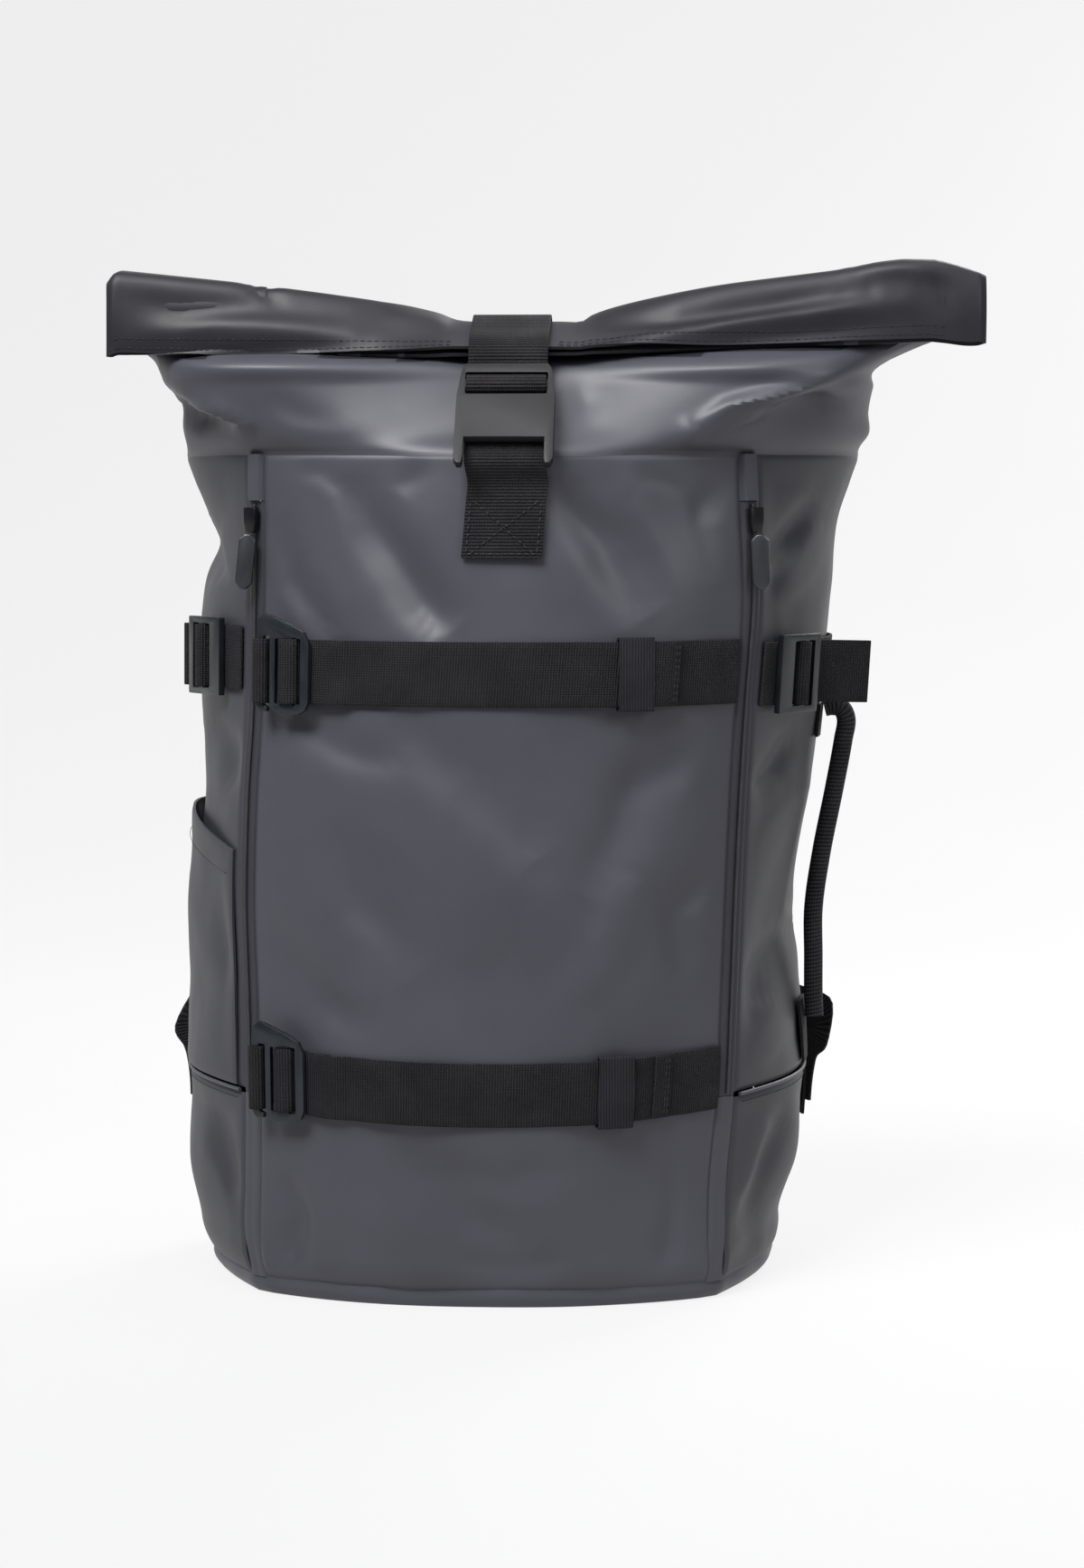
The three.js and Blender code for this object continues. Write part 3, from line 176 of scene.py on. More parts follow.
class Finish:
    """A material, the slot that it belongs to, and a way to add nodes to it."""

    def __init__(self, name, slot):
        self.material = bpy.data.materials.new(name)
        self.material.use_nodes = True
        self.tree = self.material.node_tree
        self.shader = self.tree.nodes["Principled BSDF"]
        self.slot = slot

    def plug(self, socket, value):
        if isinstance(value, Wire):
            self.tree.links.new(value.socket, socket)
        else:
            socket.default_value = value

    def node(self, kind, settings=None, inputs=None):
        node = self.tree.nodes.new("ShaderNode" + kind)
        for key, value in (settings or {}).items():
            if key == "stops":
                for stop, (place, shade) in zip(node.color_ramp.elements, value):
                    stop.position, stop.color = place, (*shade, 1)
            else:
                setattr(node, key, value)
        for key, value in (inputs or {}).items():
            self.plug(node.inputs[key], value)
        return node

    def out(self, kind, settings=None, inputs=None, output=0):
        return Wire(self, self.node(kind, settings, inputs).outputs[output])

    def place(self):
        return self.out("TexCoord", output="Object")

    def noise(self, place, per_metre, detail=2.0, rough=0.5):
        inputs = {"Vector": place, "Scale": per_metre, "Detail": detail, "Roughness": rough}
        return self.out("TexNoise", None, inputs, "Fac")

    def shades(self, share, dark, light):
        settings = {"stops": [(0.25, dark), (0.75, light)]}
        return self.out("ValToRGB", settings, {"Fac": share}, "Color")

    def bump(self, height, depth_mm, strength=1.0):
        inputs = {"Height": height, "Distance": depth_mm * MM, "Strength": strength}
        return self.out("Bump", None, inputs, "Normal")

    def set(self, **values):
        for key, value in values.items():
            self.plug(self.shader.inputs[key.replace("_", " ")], value)


# %% [markdown]
# ## Finishes
# The shell is cloth with a matt coating: charcoal with a trace of violet, soft broad shine, and a grain
# so fine that it only breaks the shine up. The sides and the roll get darker copies of the same cloth,
# which is painted shade: they lie in their own shade. The webbing is woven, so its bump follows the strap's own
# map: ribs along one direction and cords along the other. The hooks are dark anodised metal, the locks
# and the buckle are grained plastic, the zip pulls are rubber and the pads are spacer mesh.


# %% Coated cloth
def coated_cloth(name, dark, light, roughness, gloss=0.36):
    finish = Finish(name, "cloth")
    place = finish.place()
    cloudy = finish.noise(place, 14, 3)
    grain = finish.noise(place, 1500, 1)
    pores = finish.noise(place, 420, 2, 0.6)
    rubbed = finish.noise(place, 45, 4, 0.65)
    finish.set(
        Base_Color=finish.shades(cloudy * 0.7 + rubbed * 0.3, dark, light),
        Roughness=cloudy * 0.10 + rubbed * 0.12 + (roughness - 0.11),
        Normal=finish.bump(grain * 0.6 + pores * 0.4, 0.05, 0.8),
    )
    finish.shader.inputs["Specular IOR Level"].default_value = gloss
    return finish


cloth = coated_cloth("coated_cloth", (0.034, 0.034, 0.044), (0.046, 0.046, 0.059), 0.47)
# The same cloth made darker for the sides, boots and pocket: painted shade, as these panels lie in their own shade.
shaded_side_cloth = coated_cloth("shaded_side_cloth", (0.022, 0.0225, 0.028), (0.031, 0.0315, 0.039), 0.5, 0.3)
cloth_edge = coated_cloth("cloth_edge", (0.016, 0.016, 0.021), (0.023, 0.023, 0.030), 0.5)


# %% Woven finishes
def woven(name, slot, rib, cord, dark, light, depth=0.22, mapped=True):
    """Ribs across the strap every rib millimetres, cords along it every cord millimetres."""
    finish = Finish(name, slot)
    own = finish.out("UVMap", {"uv_map": "weave"}) if mapped else finish.place()
    split = finish.node("SeparateXYZ", None, {"Vector": own})
    along, across = Wire(finish, split.outputs[0]), Wire(finish, split.outputs[1 if mapped else 2])
    ribs = (along * (2 * math.pi / (rib * MM))).math("SINE")
    cords = (across * (2 * math.pi / (cord * MM))).math("SINE")
    fibre = finish.noise(finish.place(), 2600, 1)
    worn = finish.noise(finish.place(), 60, 3)
    height = ribs * 0.5 + cords * 0.22 + (ribs * cords) * 0.2 + fibre * 0.35
    shade = ribs * 0.3 + cords * 0.16 + fibre * 0.3 + worn * 0.5
    finish.set(
        Base_Color=finish.shades(shade, dark, light),
        Roughness=0.92 - worn * 0.25,
        Normal=finish.bump(height, depth, 1.0),
    )
    finish.shader.inputs["Specular IOR Level"].default_value = 0.22
    return finish


webbing_finish = woven("ribbed_webbing", "webbing", 1.25, 1.1, (0.002, 0.0018, 0.0023), (0.0170, 0.0152, 0.0190), 0.4)
fine_webbing = woven("fine_webbing", "webbing", 0.9, 0.9, (0.002, 0.0017, 0.002), (0.017, 0.0145, 0.0165), 0.3)
broad_webbing = woven("broad_webbing", "webbing", 1.5, 1.2, (0.002, 0.0018, 0.0023), (0.0180, 0.0160, 0.0200), 0.5)
elastic_finish = woven("ribbed_elastic", "elastic", 1.3, 0.5, (0.004, 0.004, 0.0055), (0.021, 0.0215, 0.028), 0.3, False)
cord_finish = woven("handle_cord", "webbing", 1.9, 1.3, (0.006, 0.006, 0.008), (0.040, 0.040, 0.047), 0.5)


# %% Hard finishes
def moulded(name, slot, dark, light, roughness, metallic=0.0, grain=900, depth=0.04):
    finish = Finish(name, slot)
    place = finish.place()
    cloudy = finish.noise(place, 90, 3)
    fine = finish.noise(place, grain, 2)
    finish.set(
        Base_Color=finish.shades(cloudy, dark, light),
        Roughness=cloudy * 0.12 + fine * 0.08 + (roughness - 0.1),
        Normal=finish.bump(fine, depth, 0.7),
    )
    finish.shader.inputs["Metallic"].default_value = metallic
    return finish


hook_metal = moulded("anodised_metal", "hook", (0.010, 0.013, 0.017), (0.018, 0.023, 0.029), 0.3, 0.4, 1600)
buckle_plastic = moulded("buckle_plastic", "plastic", (0.005, 0.005, 0.0062), (0.0085, 0.0085, 0.0102), 0.44, 0.0, 1500, 0.06)
buckle_plastic.shader.inputs["Specular IOR Level"].default_value = 0.25
lock_plastic = moulded("lock_plastic", "plastic", (0.005, 0.0058, 0.0072), (0.010, 0.0113, 0.0138), 0.3)
puller_rubber = moulded("puller_rubber", "rubber", (0.009, 0.0105, 0.013), (0.015, 0.0175, 0.021), 0.38)
slider_metal = moulded("slider_metal", "hook", (0.004, 0.004, 0.005), (0.010, 0.010, 0.012), 0.3, 0.4, 1600)
thread = moulded("sewing_thread", "cloth", (0.002, 0.002, 0.0025), (0.005, 0.005, 0.006), 0.7, 0.0, 3000)
# The same cloth made darker for the roll: painted shade, as the roll's front faces forward and down into its own shade.
shaded_roll_cloth = coated_cloth("shaded_roll_cloth", (0.010, 0.010, 0.013), (0.016, 0.016, 0.0205), 0.46, 0.22)
coil_plastic = moulded("zip_coil", "zip", (0.008, 0.008, 0.010), (0.016, 0.016, 0.019), 0.45)


# %% Spacer mesh
def spacer_mesh(name):
    """A honeycomb of small holes, as cells around scattered points."""
    finish = Finish(name, "mesh")
    place = finish.place()
    cells = finish.out("TexVoronoi", {"feature": "F1"}, {"Vector": place, "Scale": 420.0}, "Distance")
    worn = finish.noise(place, 30, 3)
    finish.set(
        Base_Color=finish.shades(1 - cells * 1.4 + worn * 0.2, (0.022, 0.022, 0.026), (0.013, 0.013, 0.016)),
        Roughness=0.95 - worn * 0.15,
        Normal=finish.bump(cells, 0.5, 1.0),
    )
    return finish


mesh_finish = spacer_mesh("spacer_mesh")
floor_finish = Finish("pale_paper", "cloth")
floor_finish.set(
    Base_Color=floor_finish.shades(floor_finish.noise(floor_finish.place(), 3, 2), (0.05, 0.05, 0.05), (0.055, 0.055, 0.055)),
    Roughness=0.95 - floor_finish.noise(floor_finish.place(), 6, 2) * 0.05,
)
floor_finish.shader.inputs["Emission Color"].default_value = (1, 1, 1, 1)
floor_finish.shader.inputs["Emission Strength"].default_value = 0.81
sweep.data.materials.append(floor_finish.material)

# %% [markdown]
# ## The body's own surface
# The panels of the shell all lie on one surface: a section that changes with height. The same few rows
# of numbers as in the CAD model give it here, at any fineness. Once round a section is 0 to 8: 0 to 1
# is the front from left to right, 2 to 4 the right side, 4 to 5 the back, and 5 to 8 the left side.

# %% Sizes of the bag
BODY_HEIGHT, BODY_WIDTH, BODY_DEPTH = 399, 302, 180
FRONT_WIDTH, FRONT_BULGE, ZIP_STRIP = 224, 40, 9.5
BOOT_HEIGHT, BASE_SEAM, CORNER, LEAN = 97, 8, 24, 19
COLLAR_HEIGHT, ROLL_WIDTH, ROLL_BEND, ROLL_RISE = 42, 410, 4.2, 55.5
POCKET_TOP, GARAGE = 227, 22
CLOTH, GAP, WEB = 1.6, 0.3, 1.6
SEAM_Y = -BODY_DEPTH / 2 + FRONT_BULGE
BACK_Y = BODY_DEPTH / 2
STRIP_TURN = math.radians(38)


class Rows:
    """A smooth curve through each column of a table whose first column is the place."""

    def __init__(self, rows):
        self.places = np.array([row[0] for row in rows], float)
        self.values = np.array([row[1:] for row in rows], float)

    def __call__(self, at):
        places, values, last = self.places, self.values, len(self.places) - 1
        at = np.clip(np.asarray(at, float), places[0], places[-1])
        k = np.clip(np.searchsorted(places, at, side="right"), 1, last)
        before, after = np.where(k > 1, k - 2, k), np.where(k < last, k + 1, k - 1)
        low, high = places[k - 1], places[k]
        half = (high - low) / 2
        w_low, w_high = half / (low - places[before]), half / (places[after] - high)
        p = (at - low) / (high - low)
        shares = (
            -w_low * p**3 + 2 * w_low * p**2 - w_low * p,
            (1 + w_low) * p**3 + (-1.5 - 2 * w_low) * p**2 + (w_low - 0.5) * p + 1,
            (-1 - w_high) * p**3 + (1.5 + w_high) * p**2 + 0.5 * p,
            w_high * p**3 - w_high * p**2,
        )
        return sum(s[..., None] * values[i] for s, i in zip(shares, (before, k - 1, k, after)))


section_at = Rows([
    # height, front left, front right, side left, side right, bulge
    [0.02, 0.93, 0.945, 0.955, 0.925, 0.62],
    [0.07, 0.962, 0.955, 0.985, 0.945, 0.74],
    [0.13, 0.961, 0.955, 1.012, 0.99, 0.84],
    [0.24, 0.965, 0.98, 1.029, 1.008, 0.96],
    [0.36, 0.985, 0.985, 1.023, 0.988, 1.0],
    [0.47, 1.01, 0.983, 1.026, 0.965, 1.0],
    [0.6, 1.02, 0.979, 1.012, 0.992, 1.0],
    [0.7, 1.018, 0.977, 1.038, 1.002, 1.0],
    [0.83, 1.04, 0.975, 1.07, 1.012, 0.97],
    [0.92, 1.065, 0.945, 1.062, 1.008, 0.92],
    [0.965, 1.08, 0.92, 1.11, 1.035, 0.88],
    [1.0, 1.09, 0.9, 1.15, 1.06, 0.85],
])
BODY_FOLDS = [
    # around, height, half spans of both, depth
    (0.86, 0.93, 0.12, 0.07, -5),
    (0.2, 0.9, 0.12, 0.1, -2.5),
    (0.5, 0.5, 0.3, 0.14, 2.5),
    (0.82, 0.15, 0.1, 0.1, -3),
    (2.6, 0.42, 0.35, 0.1, -4),
    (2.5, 0.16, 0.4, 0.07, 3),
    (6.5, 0.88, 0.4, 0.06, -4),
    (6.4, 0.13, 0.4, 0.07, 3),
    (2.4, 0.9, 0.4, 0.06, -3),
]


def lean(z):
    return LEAN * (z / BODY_HEIGHT) ** 2


def half_plan(place, front, side, bulge):
    """The right half of a section, from the middle of the front to the middle of the back."""
    edge_x, edge_y = front + ZIP_STRIP * math.cos(STRIP_TURN), SEAM_Y + ZIP_STRIP * math.sin(STRIP_TURN)
    run = BACK_Y - edge_y
    wide_y, rear_x = edge_y + run * 0.8, side - CORNER
    s = np.clip((place - 0.5) * 2, 0, 1)
    x, y = front * s, SEAM_Y - bulge * (1 - s**2.4)
    s = place - 1
    x = np.where(place > 1, front + (edge_x - front) * s, x)
    y = np.where(place > 1, SEAM_Y + (edge_y - SEAM_Y) * s, y)
    s = np.clip(place - 2, 0, 1)
    a, b, c, d = (1 - s) ** 3, 3 * s * (1 - s) ** 2, 3 * s**2 * (1 - s), s**3
    x = np.where(place > 2, a * edge_x + b * (edge_x + (side - edge_x) * 0.72) + (c + d) * side, x)
    y = np.where(place > 2, a * edge_y + b * (edge_y + run * 0.3) + c * (wide_y - run * 0.3) + d * wide_y, y)
    s = np.clip(place - 3, 0, 1)
    a, b, c = (1 - s) ** 2, 2 * s * (1 - s), s**2
    x = np.where(place > 3, (a + b) * side + c * rear_x, x)
    y = np.where(place > 3, a * wide_y + (b + c) * BACK_Y, y)
    return np.where(place > 4, rear_x * (1 - (place - 4) * 2), x), np.where(place > 4, BACK_Y, y)


def smooth_body(around, z):
    place = np.mod(around, 8)
    left = (place < 0.5) | (place > 4.5)
    folded = np.where(place < 0.5, 1 - place, np.where(place > 4.5, 9 - place, place))
    rows = section_at(z / BODY_HEIGHT)
    front = FRONT_WIDTH / 2 * np.where(left, rows[..., 0], rows[..., 1])
    side = BODY_WIDTH / 2 * np.where(left, rows[..., 2], rows[..., 3])
    x, y = half_plan(folded, front, side, FRONT_BULGE * rows[..., 4])
    return np.stack([np.where(left, -x, x) + lean(z), y, z + 0 * x], axis=-1)


def unit(v):
    return v / np.maximum(np.linalg.norm(v, axis=-1, keepdims=True), 1e-12)


def level_out(around, z):
    here = smooth_body(around, z)
    run = unit(smooth_body(around + 1e-3, z) - here) + unit(here - smooth_body(around - 1e-3, z))
    return unit(np.cross(run, [0, 0, 1]))


def body_point(around, z, lift=0):
    around, z = np.broadcast_arrays(np.asarray(around, float), np.asarray(z, float))
    depth = np.zeros(around.shape) + lift
    for place, height, across, along, deep in BODY_FOLDS:
        far = ((np.mod(around, 8) - place) / across) ** 2 + ((z / BODY_HEIGHT - height) / along) ** 2
        depth = depth + deep * np.exp(-far)
    return smooth_body(around, z) + level_out(around, z) * depth[..., None]


print("crown of the front:", body_point(0.5, 200).round(1))

# %% [markdown]
# ## From points to cloth
# A panel starts as Blender's grid, whose vertices are then laid on the surface. Solidify gives the cloth
# its thickness and shade_smooth_by_angle keeps its edges crisp. Creases come from a list: each one is a
# line over the photograph with a width and a depth, and the points of the grid near it move in or out.
# Where two panels are sewn together the cloth turns in, so each edge dips a little.


# %% Helpers for cloth
def select_only(piece):
    bpy.ops.object.select_all(action="DESELECT")
    piece.select_set(True)
    bpy.context.view_layer.objects.active = piece


def apply_modifier(piece, kind, **settings):
    select_only(piece)
    modifier = piece.modifiers.new(kind.lower(), kind)
    for key, value in settings.items():
        setattr(modifier, key, value)
    bpy.ops.object.modifier_apply(modifier=modifier.name)


def put_on(piece, name, finish, *nodes):
    """Names a finished piece, gives it its finish and lets it stand for its CAD nodes."""
    piece.name = piece.data.name = name
    while piece.data.materials:
        piece.data.materials.pop()
    piece.data.materials.append(finish.material)
    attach(piece, "root")
    if nodes:
        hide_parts(*nodes)
    return piece


def grid_of(points, weave=None, ring=False):
    """A grid whose vertices are the given points: rows going up, columns going round."""
    rows, columns = points.shape[:2]
    bpy.ops.object.select_all(action="DESELECT")
    bpy.ops.mesh.primitive_grid_add(x_subdivisions=columns - 1, y_subdivisions=rows - 1, size=1)
    piece = bpy.context.object
    mesh = piece.data
    mesh.vertices.foreach_set("co", (points * MM).ravel())
    if weave is not None:
        corner = np.empty(len(mesh.loops), int)
        mesh.loops.foreach_get("vertex_index", corner)
        mesh.uv_layers[0].name = "weave"
        mesh.uv_layers[0].data.foreach_set("uv", (weave.reshape(-1, 2)[corner] * MM).ravel())
    mesh.update()
    if ring:
        bpy.ops.object.mode_set(mode="EDIT")
        bpy.ops.mesh.select_all(action="SELECT")
        bpy.ops.mesh.remove_doubles(threshold=1e-6)
        bpy.ops.object.mode_set(mode="OBJECT")
    return piece


def thicken(piece, thick, offset=-1.0, smooth=40):
    apply_modifier(piece, "SOLIDIFY", thickness=thick * MM, offset=offset)
    bpy.ops.object.shade_smooth_by_angle(angle=math.radians(smooth))
    return piece


def spread(low, high, unit_mm, pitch):
    """Places from low to high, closer together near both ends. unit_mm is the length of one unit."""
    near = np.array([0, 0.6, 1.3, 2.2, 3.4, 5.0]) / unit_mm
    inner = np.linspace(low + near[-1], high - near[-1], max(3, round((high - low) * unit_mm / pitch)))
    return np.concatenate([low + near[:-1], inner, high - near[:-1][::-1]])


def edge_distance(points):
    """How far each point of a grid is from the nearest edge of it, along its rows and columns."""
    across = np.linalg.norm(np.diff(points, axis=1), axis=-1)
    along = np.linalg.norm(np.diff(points, axis=0), axis=-1)
    left = np.concatenate([np.zeros((len(points), 1)), np.cumsum(across, axis=1)], axis=1)
    low = np.concatenate([np.zeros((1, points.shape[1])), np.cumsum(along, axis=0)], axis=0)
    return np.minimum.reduce([left, left[:, -1:] - left, low, low[-1:] - low])


CREASE_GAIN = 1.6


def crease_depth(points, creases):
    """Depth at each point from creases drawn over the photograph: depth, width, knots in its pixels."""
    seen = in_photo(points)
    depth = np.zeros(points.shape[:-1])
    for deep, width, *knots in creases:
        line = np.array(knots, float)
        t = np.linspace(0, len(line) - 1, 10 * len(line))
        line = np.stack([np.interp(t, np.arange(len(line)), line[:, i]) for i in (0, 1)], axis=-1)
        far = np.linalg.norm(seen[..., None, :] - line, axis=-1)
        nearest = far.argmin(axis=-1) / (len(line) - 1)
        taper = np.sin(np.pi * np.clip(nearest, 0.04, 0.96)) ** 0.7
        depth += deep * CREASE_GAIN * taper * np.exp(-((far.min(axis=-1) / width) ** 2))
    return depth


def ripple(points, size, depth, seed=0.0):
    """Soft unevenness of cloth: smooth noise, size in millimetres from wave to wave."""
    flat = points.reshape(-1, 3) / size + seed
    values = np.array([noise.noise(Vector(p)) for p in flat])
    return values.reshape(points.shape[:-1]) * depth


def grid_out(points, ring=False):
    """Outward normals of a grid of points."""
    if ring:
        ext = np.concatenate([points[:, -2:-1], points, points[:, 1:2]], axis=1)
        across = ext[:, 2:] - ext[:, :-2]
    else:
        across = np.gradient(points, axis=1)
    return unit(np.cross(across, np.gradient(points, axis=0)))


CREASES = {
    "front": [
        (-4.0, 26, (372, 512), (415, 585), (468, 665), (500, 705)),
        (-2.6, 20, (300, 560), (325, 640), (370, 710)),
        (-3.5, 26, (610, 530), (665, 600), (720, 690)),
        (-1.2, 16, (330, 506), (350, 522), (380, 545)),
        (-1.2, 16, (470, 506), (455, 525), (440, 550)),
        (-1.2, 16, (700, 508), (725, 528), (760, 548)),
        (-3.0, 34, (430, 780), (520, 860), (600, 960)),
        (-3.0, 34, (360, 900), (400, 1000), (470, 1080)),
        (-3.0, 30, (740, 800), (700, 900), (650, 1000)),
        (-2.6, 30, (420, 1260), (500, 1330), (600, 1390)),
        (2.0, 20, (352, 520), (362, 580), (352, 650)),
        (-1.6, 22, (640, 560), (700, 600), (760, 690)),
        (1.8, 24, (700, 540), (760, 590), (800, 660)),
        (-2.0, 18, (800, 520), (770, 580), (790, 650)),
        (1.6, 18, (300, 820), (330, 900), (310, 990)),
        (-1.4, 20, (320, 790), (380, 830), (450, 850)),
        (-1.6, 22, (780, 800), (740, 850), (690, 880)),
        (-1.8, 18, (790, 960), (750, 1010), (760, 1100)),
        (1.6, 24, (700, 960), (680, 1040), (640, 1120)),
        (-1.6, 20, (320, 1050), (360, 1110), (420, 1150)),
        (-2.2, 16, (310, 1290), (330, 1350), (320, 1410)),
        (2.0, 20, (350, 1290), (370, 1350), (355, 1415)),
        (-2.2, 18, (740, 1270), (750, 1340), (735, 1420)),
        (2.0, 18, (775, 1270), (772, 1340), (765, 1410)),
        (-1.6, 22, (480, 1290), (560, 1310), (640, 1290)),
        (-1.4, 18, (500, 1400), (560, 1412), (640, 1404)),
    ],
    "sides": [
        (-3.0, 12, (246, 560), (238, 600), (250, 650)),
        (2.0, 12, (232, 560), (246, 590), (262, 640)),
        (-2.4, 14, (236, 790), (252, 830), (262, 880)),
        (-2.2, 12, (905, 545), (880, 590), (850, 640)),
        (2.4, 14, (915, 575), (890, 625), (862, 668)),
        (-2.6, 12, (890, 800), (862, 850), (832, 880)),
        (2.2, 13, (888, 870), (860, 915), (838, 960)),
        (-2.6, 14, (880, 1010), (850, 1060), (835, 1120)),
        (2.0, 14, (868, 1100), (850, 1150), (830, 1190)),
    ],
    "boots": [
        (-2.4, 12, (236, 1220), (250, 1280), (262, 1330)),
        (2.4, 12, (226, 1260), (240, 1320), (262, 1380)),
        (-2.6, 14, (870, 1230), (846, 1290), (826, 1350)),
        (2.2, 12, (850, 1230), (832, 1290), (815, 1330)),
        (-2.0, 12, (846, 1370), (826, 1390), (806, 1410)),
    ],
    "pocket": [
        (1.8, 10, (236, 900), (248, 912), (262, 922)),
        (-1.6, 14, (226, 960), (240, 1040), (262, 1100)),
    ],
}


PILLOW = 1.2  # how far the cloth bulges over the bottom seam
OUTWARD = 0.7  # how far a fold may stand out of the panel, so that it stays clear of the straps
HOLD_BACK = 1.6  # how sharply a fold is held back there
FOLDS_FROM = 14  # distance from an edge at which folds have their full depth
DIP_WIDTH = 1.5  # width of the dip along a seam
SHELL_CLOTH = CLOTH - 0.3  # thinner than in the CAD model, so that the folds stay inside it


def panel(name, node, around, heights, across_mm, creases, lift=0.0, dip=1.0, pitch=1.9, trim=GAP / 2, mouth=None):
    """A panel of the shell between two places round the bag and two heights."""
    a = spread(around[0] + trim / across_mm, around[1] - trim / across_mm, across_mm, pitch)
    z = spread(heights[0] + trim, heights[1] - trim, 1, pitch)
    around_grid, z_grid = np.meshgrid(a, z)
    if mouth:
        z_grid = z[0] + (z_grid - z[0]) * (mouth(around_grid) - z[0]) / (z[-1] - z[0])
    raised = lift(around_grid, z_grid) if callable(lift) else lift
    points = body_point(around_grid, z_grid, raised)
    soft = ripple(points, 85, 3.2, 3.0) + ripple(points, 44, 1.6) + ripple(points, 21, 0.6, 7.0)
    soft = soft + crease_depth(points, CREASES[creases])
    far = edge_distance(points)
    soft = OUTWARD - np.log1p(np.exp((OUTWARD - soft) * HOLD_BACK)) / HOLD_BACK
    soft = soft * np.clip(far / FOLDS_FROM, 0, 1) - dip * np.exp(-((far / DIP_WIDTH) ** 2))
    above = z_grid - BASE_SEAM
    soft = soft + PILLOW * np.exp(-(((above - 9) / 7) ** 2)) - 0.4 * np.exp(-((above / 2.5) ** 2))
    points = points + level_out(around_grid, z_grid) * soft[..., None]
    piece = thicken(grid_of(points), SHELL_CLOTH)
    # Sides, boots and pocket get the darker copy of the cloth, with its painted shade.
    return put_on(piece, name, cloth if creases == "front" else shaded_side_cloth, node)


# %% [markdown]
# ## Panels of the shell
# The front is one large panel that bulges between the zips. Each side is one panel above the boot, and
# the boot is cut from its own cloth and sewn on with a piped seam. The back panel is flat.

# %% Panels of the shell
EDGE = 1 + GAP / 2  # half of the piping and its clearance
front_cloth = panel("front_cloth", "front_panel", (0, 1), (BASE_SEAM, BODY_HEIGHT), 224, "front")
panel("back_cloth", "back_panel", (4, 5), (BASE_SEAM, BODY_HEIGHT), 250, "front", pitch=5)
for side, low, high in (("right", 2, 4), ("left", 5, 7)):
    panel(side + "_shaded_side_cloth", "side_panel_" + side, (low, high), (BOOT_HEIGHT + EDGE, BODY_HEIGHT), 76, "sides")
    panel(side + "_boot_cloth", "boot_" + side, (low, high), (BASE_SEAM, BOOT_HEIGHT - EDGE), 76, "boots")
print("front panel faces:", len(front_cloth.data.polygons))


# %% [markdown]
# ## Pocket
# The pocket is a second layer over the left side, sewn in at the boot and at both seams, with a slack
# mouth whose hem is folded and stitched.


# %% Pocket
def pocket_lift(around, z):
    span = (around - 5.08) / (6.96 - 5.08)
    up = (z - BOOT_HEIGHT) / (POCKET_TOP - BOOT_HEIGHT)
    return GAP + CLOTH + 4 * np.sin(np.pi * np.clip(span, 0, 1)) * up


def pocket_mouth(around):
    """Height of the pocket's mouth: level at the back and lower towards the zip."""
    return POCKET_TOP - 15 * np.clip((around - 6.1) / 0.86, 0, 1) ** 1.3


panel("pocket_cloth", "pocket_left", (5.08, 6.96), (BOOT_HEIGHT + 2.3, POCKET_TOP), 76, "pocket",
      lift=pocket_lift, dip=0.5, trim=0, mouth=pocket_mouth)

# %% [markdown]
# ## Base
# The base is a shallow tray: flat where it stands, with a round edge up to the bottom seam. Its grid
# goes round the bag once, so the first and the last column are merged.

# %% Base
places = np.concatenate([np.linspace(0, 1, 60), np.linspace(1, 2, 4)[1:], np.linspace(2, 4, 50)[1:],
                         np.linspace(4, 5, 30)[1:], np.linspace(5, 7, 50)[1:], np.linspace(7, 8, 4)[1:]])
rim = body_point(places, float(BASE_SEAM))
BASE_PROFILE = Rows([[0, 0.02, 0.0], [0.5, 0.7, 0.0], [0.72, 0.955, 0.0], [0.82, 0.98, 0.2], [0.9, 0.994, 0.62],
                     [0.95, 0.992, 0.98], [1, 0.978, 1.5]])
profile = BASE_PROFILE(np.linspace(0, 1, 34))
base_points = np.stack([rim * [s, s, 0] + [0, 0, max(0.0, h) * (BASE_SEAM - 0.15)] for s, h in profile])
bumpy = ripple(base_points, 24, 1.4) * np.clip(base_points[..., 2] / 6, 0, 1)
base_points += unit(base_points * [1, 1, 0]) * bumpy[..., None]
base_points[:, -1] = base_points[:, 0]
base_cloth = thicken(grid_of(base_points, ring=True), SHELL_CLOTH)
put_on(base_cloth, "base_cloth", cloth, "base_panel")

# %% [markdown]
# ## Collar and roll
# Neck and roll are one length of cloth. It narrows to a neck, is flat from there on, folds forward once
# and ends in a hem. Once round it, turn 0 is the middle of the front, 1 the end of the roll and 2 the
# middle of the back.

# %% Collar
FOLD_PLACE = 2.6
NECK_SHARES = [0.22, 0.48, 0.75, 1]
ROLL_STAGES = [0, 1, 1.34, 1.67, 2, 2.5, 3]
ROLL_FULLNESS = 8.5  # how far the front of the roll bulges
# From this row on, the roll gets the darker cloth with painted shade.
ROLL_SHADE_FROM = 6.6  # the row where the darker cloth of the roll begins
TURNS = ([0.5, 1, 2, FOLD_PLACE, 3, 4, 4.5], [0, 0.607, 0.65, 1, 1.17, 1.33, 2])
neck_at = Rows([
    # share, front y, corner turn, corner x, corner y, left x, right x, side y, back x, back y
    [0.22, -0.85, 0.66, 0.62, -0.6, 0.83, 0.79, 0.2, 0.62, 0.86],
    [0.48, -0.75, 0.74, 0.69, -0.56, 0.84, 0.785, 0.1, 0.6, 0.68],
    [0.75, -0.64, 0.84, 0.76, -0.5, 0.86, 0.785, 0, 0.56, 0.45],
    [1.0, -0.54, 0.92, 0.8, -0.42, 0.88, 0.79, -0.1, 0.5, 0.2],
])
ROLL_STRAP = {"y": -0.3, "below": 3, "turn": 114, "flap": 30}
ROLL_END = {"y": -0.32, "below": 25, "turn": 163, "flap": 36}
STRAP_TURN, PINCHED, ROLL_EASE, ROLL_SEAT = -0.05, 0.152, 0.6, 0.7


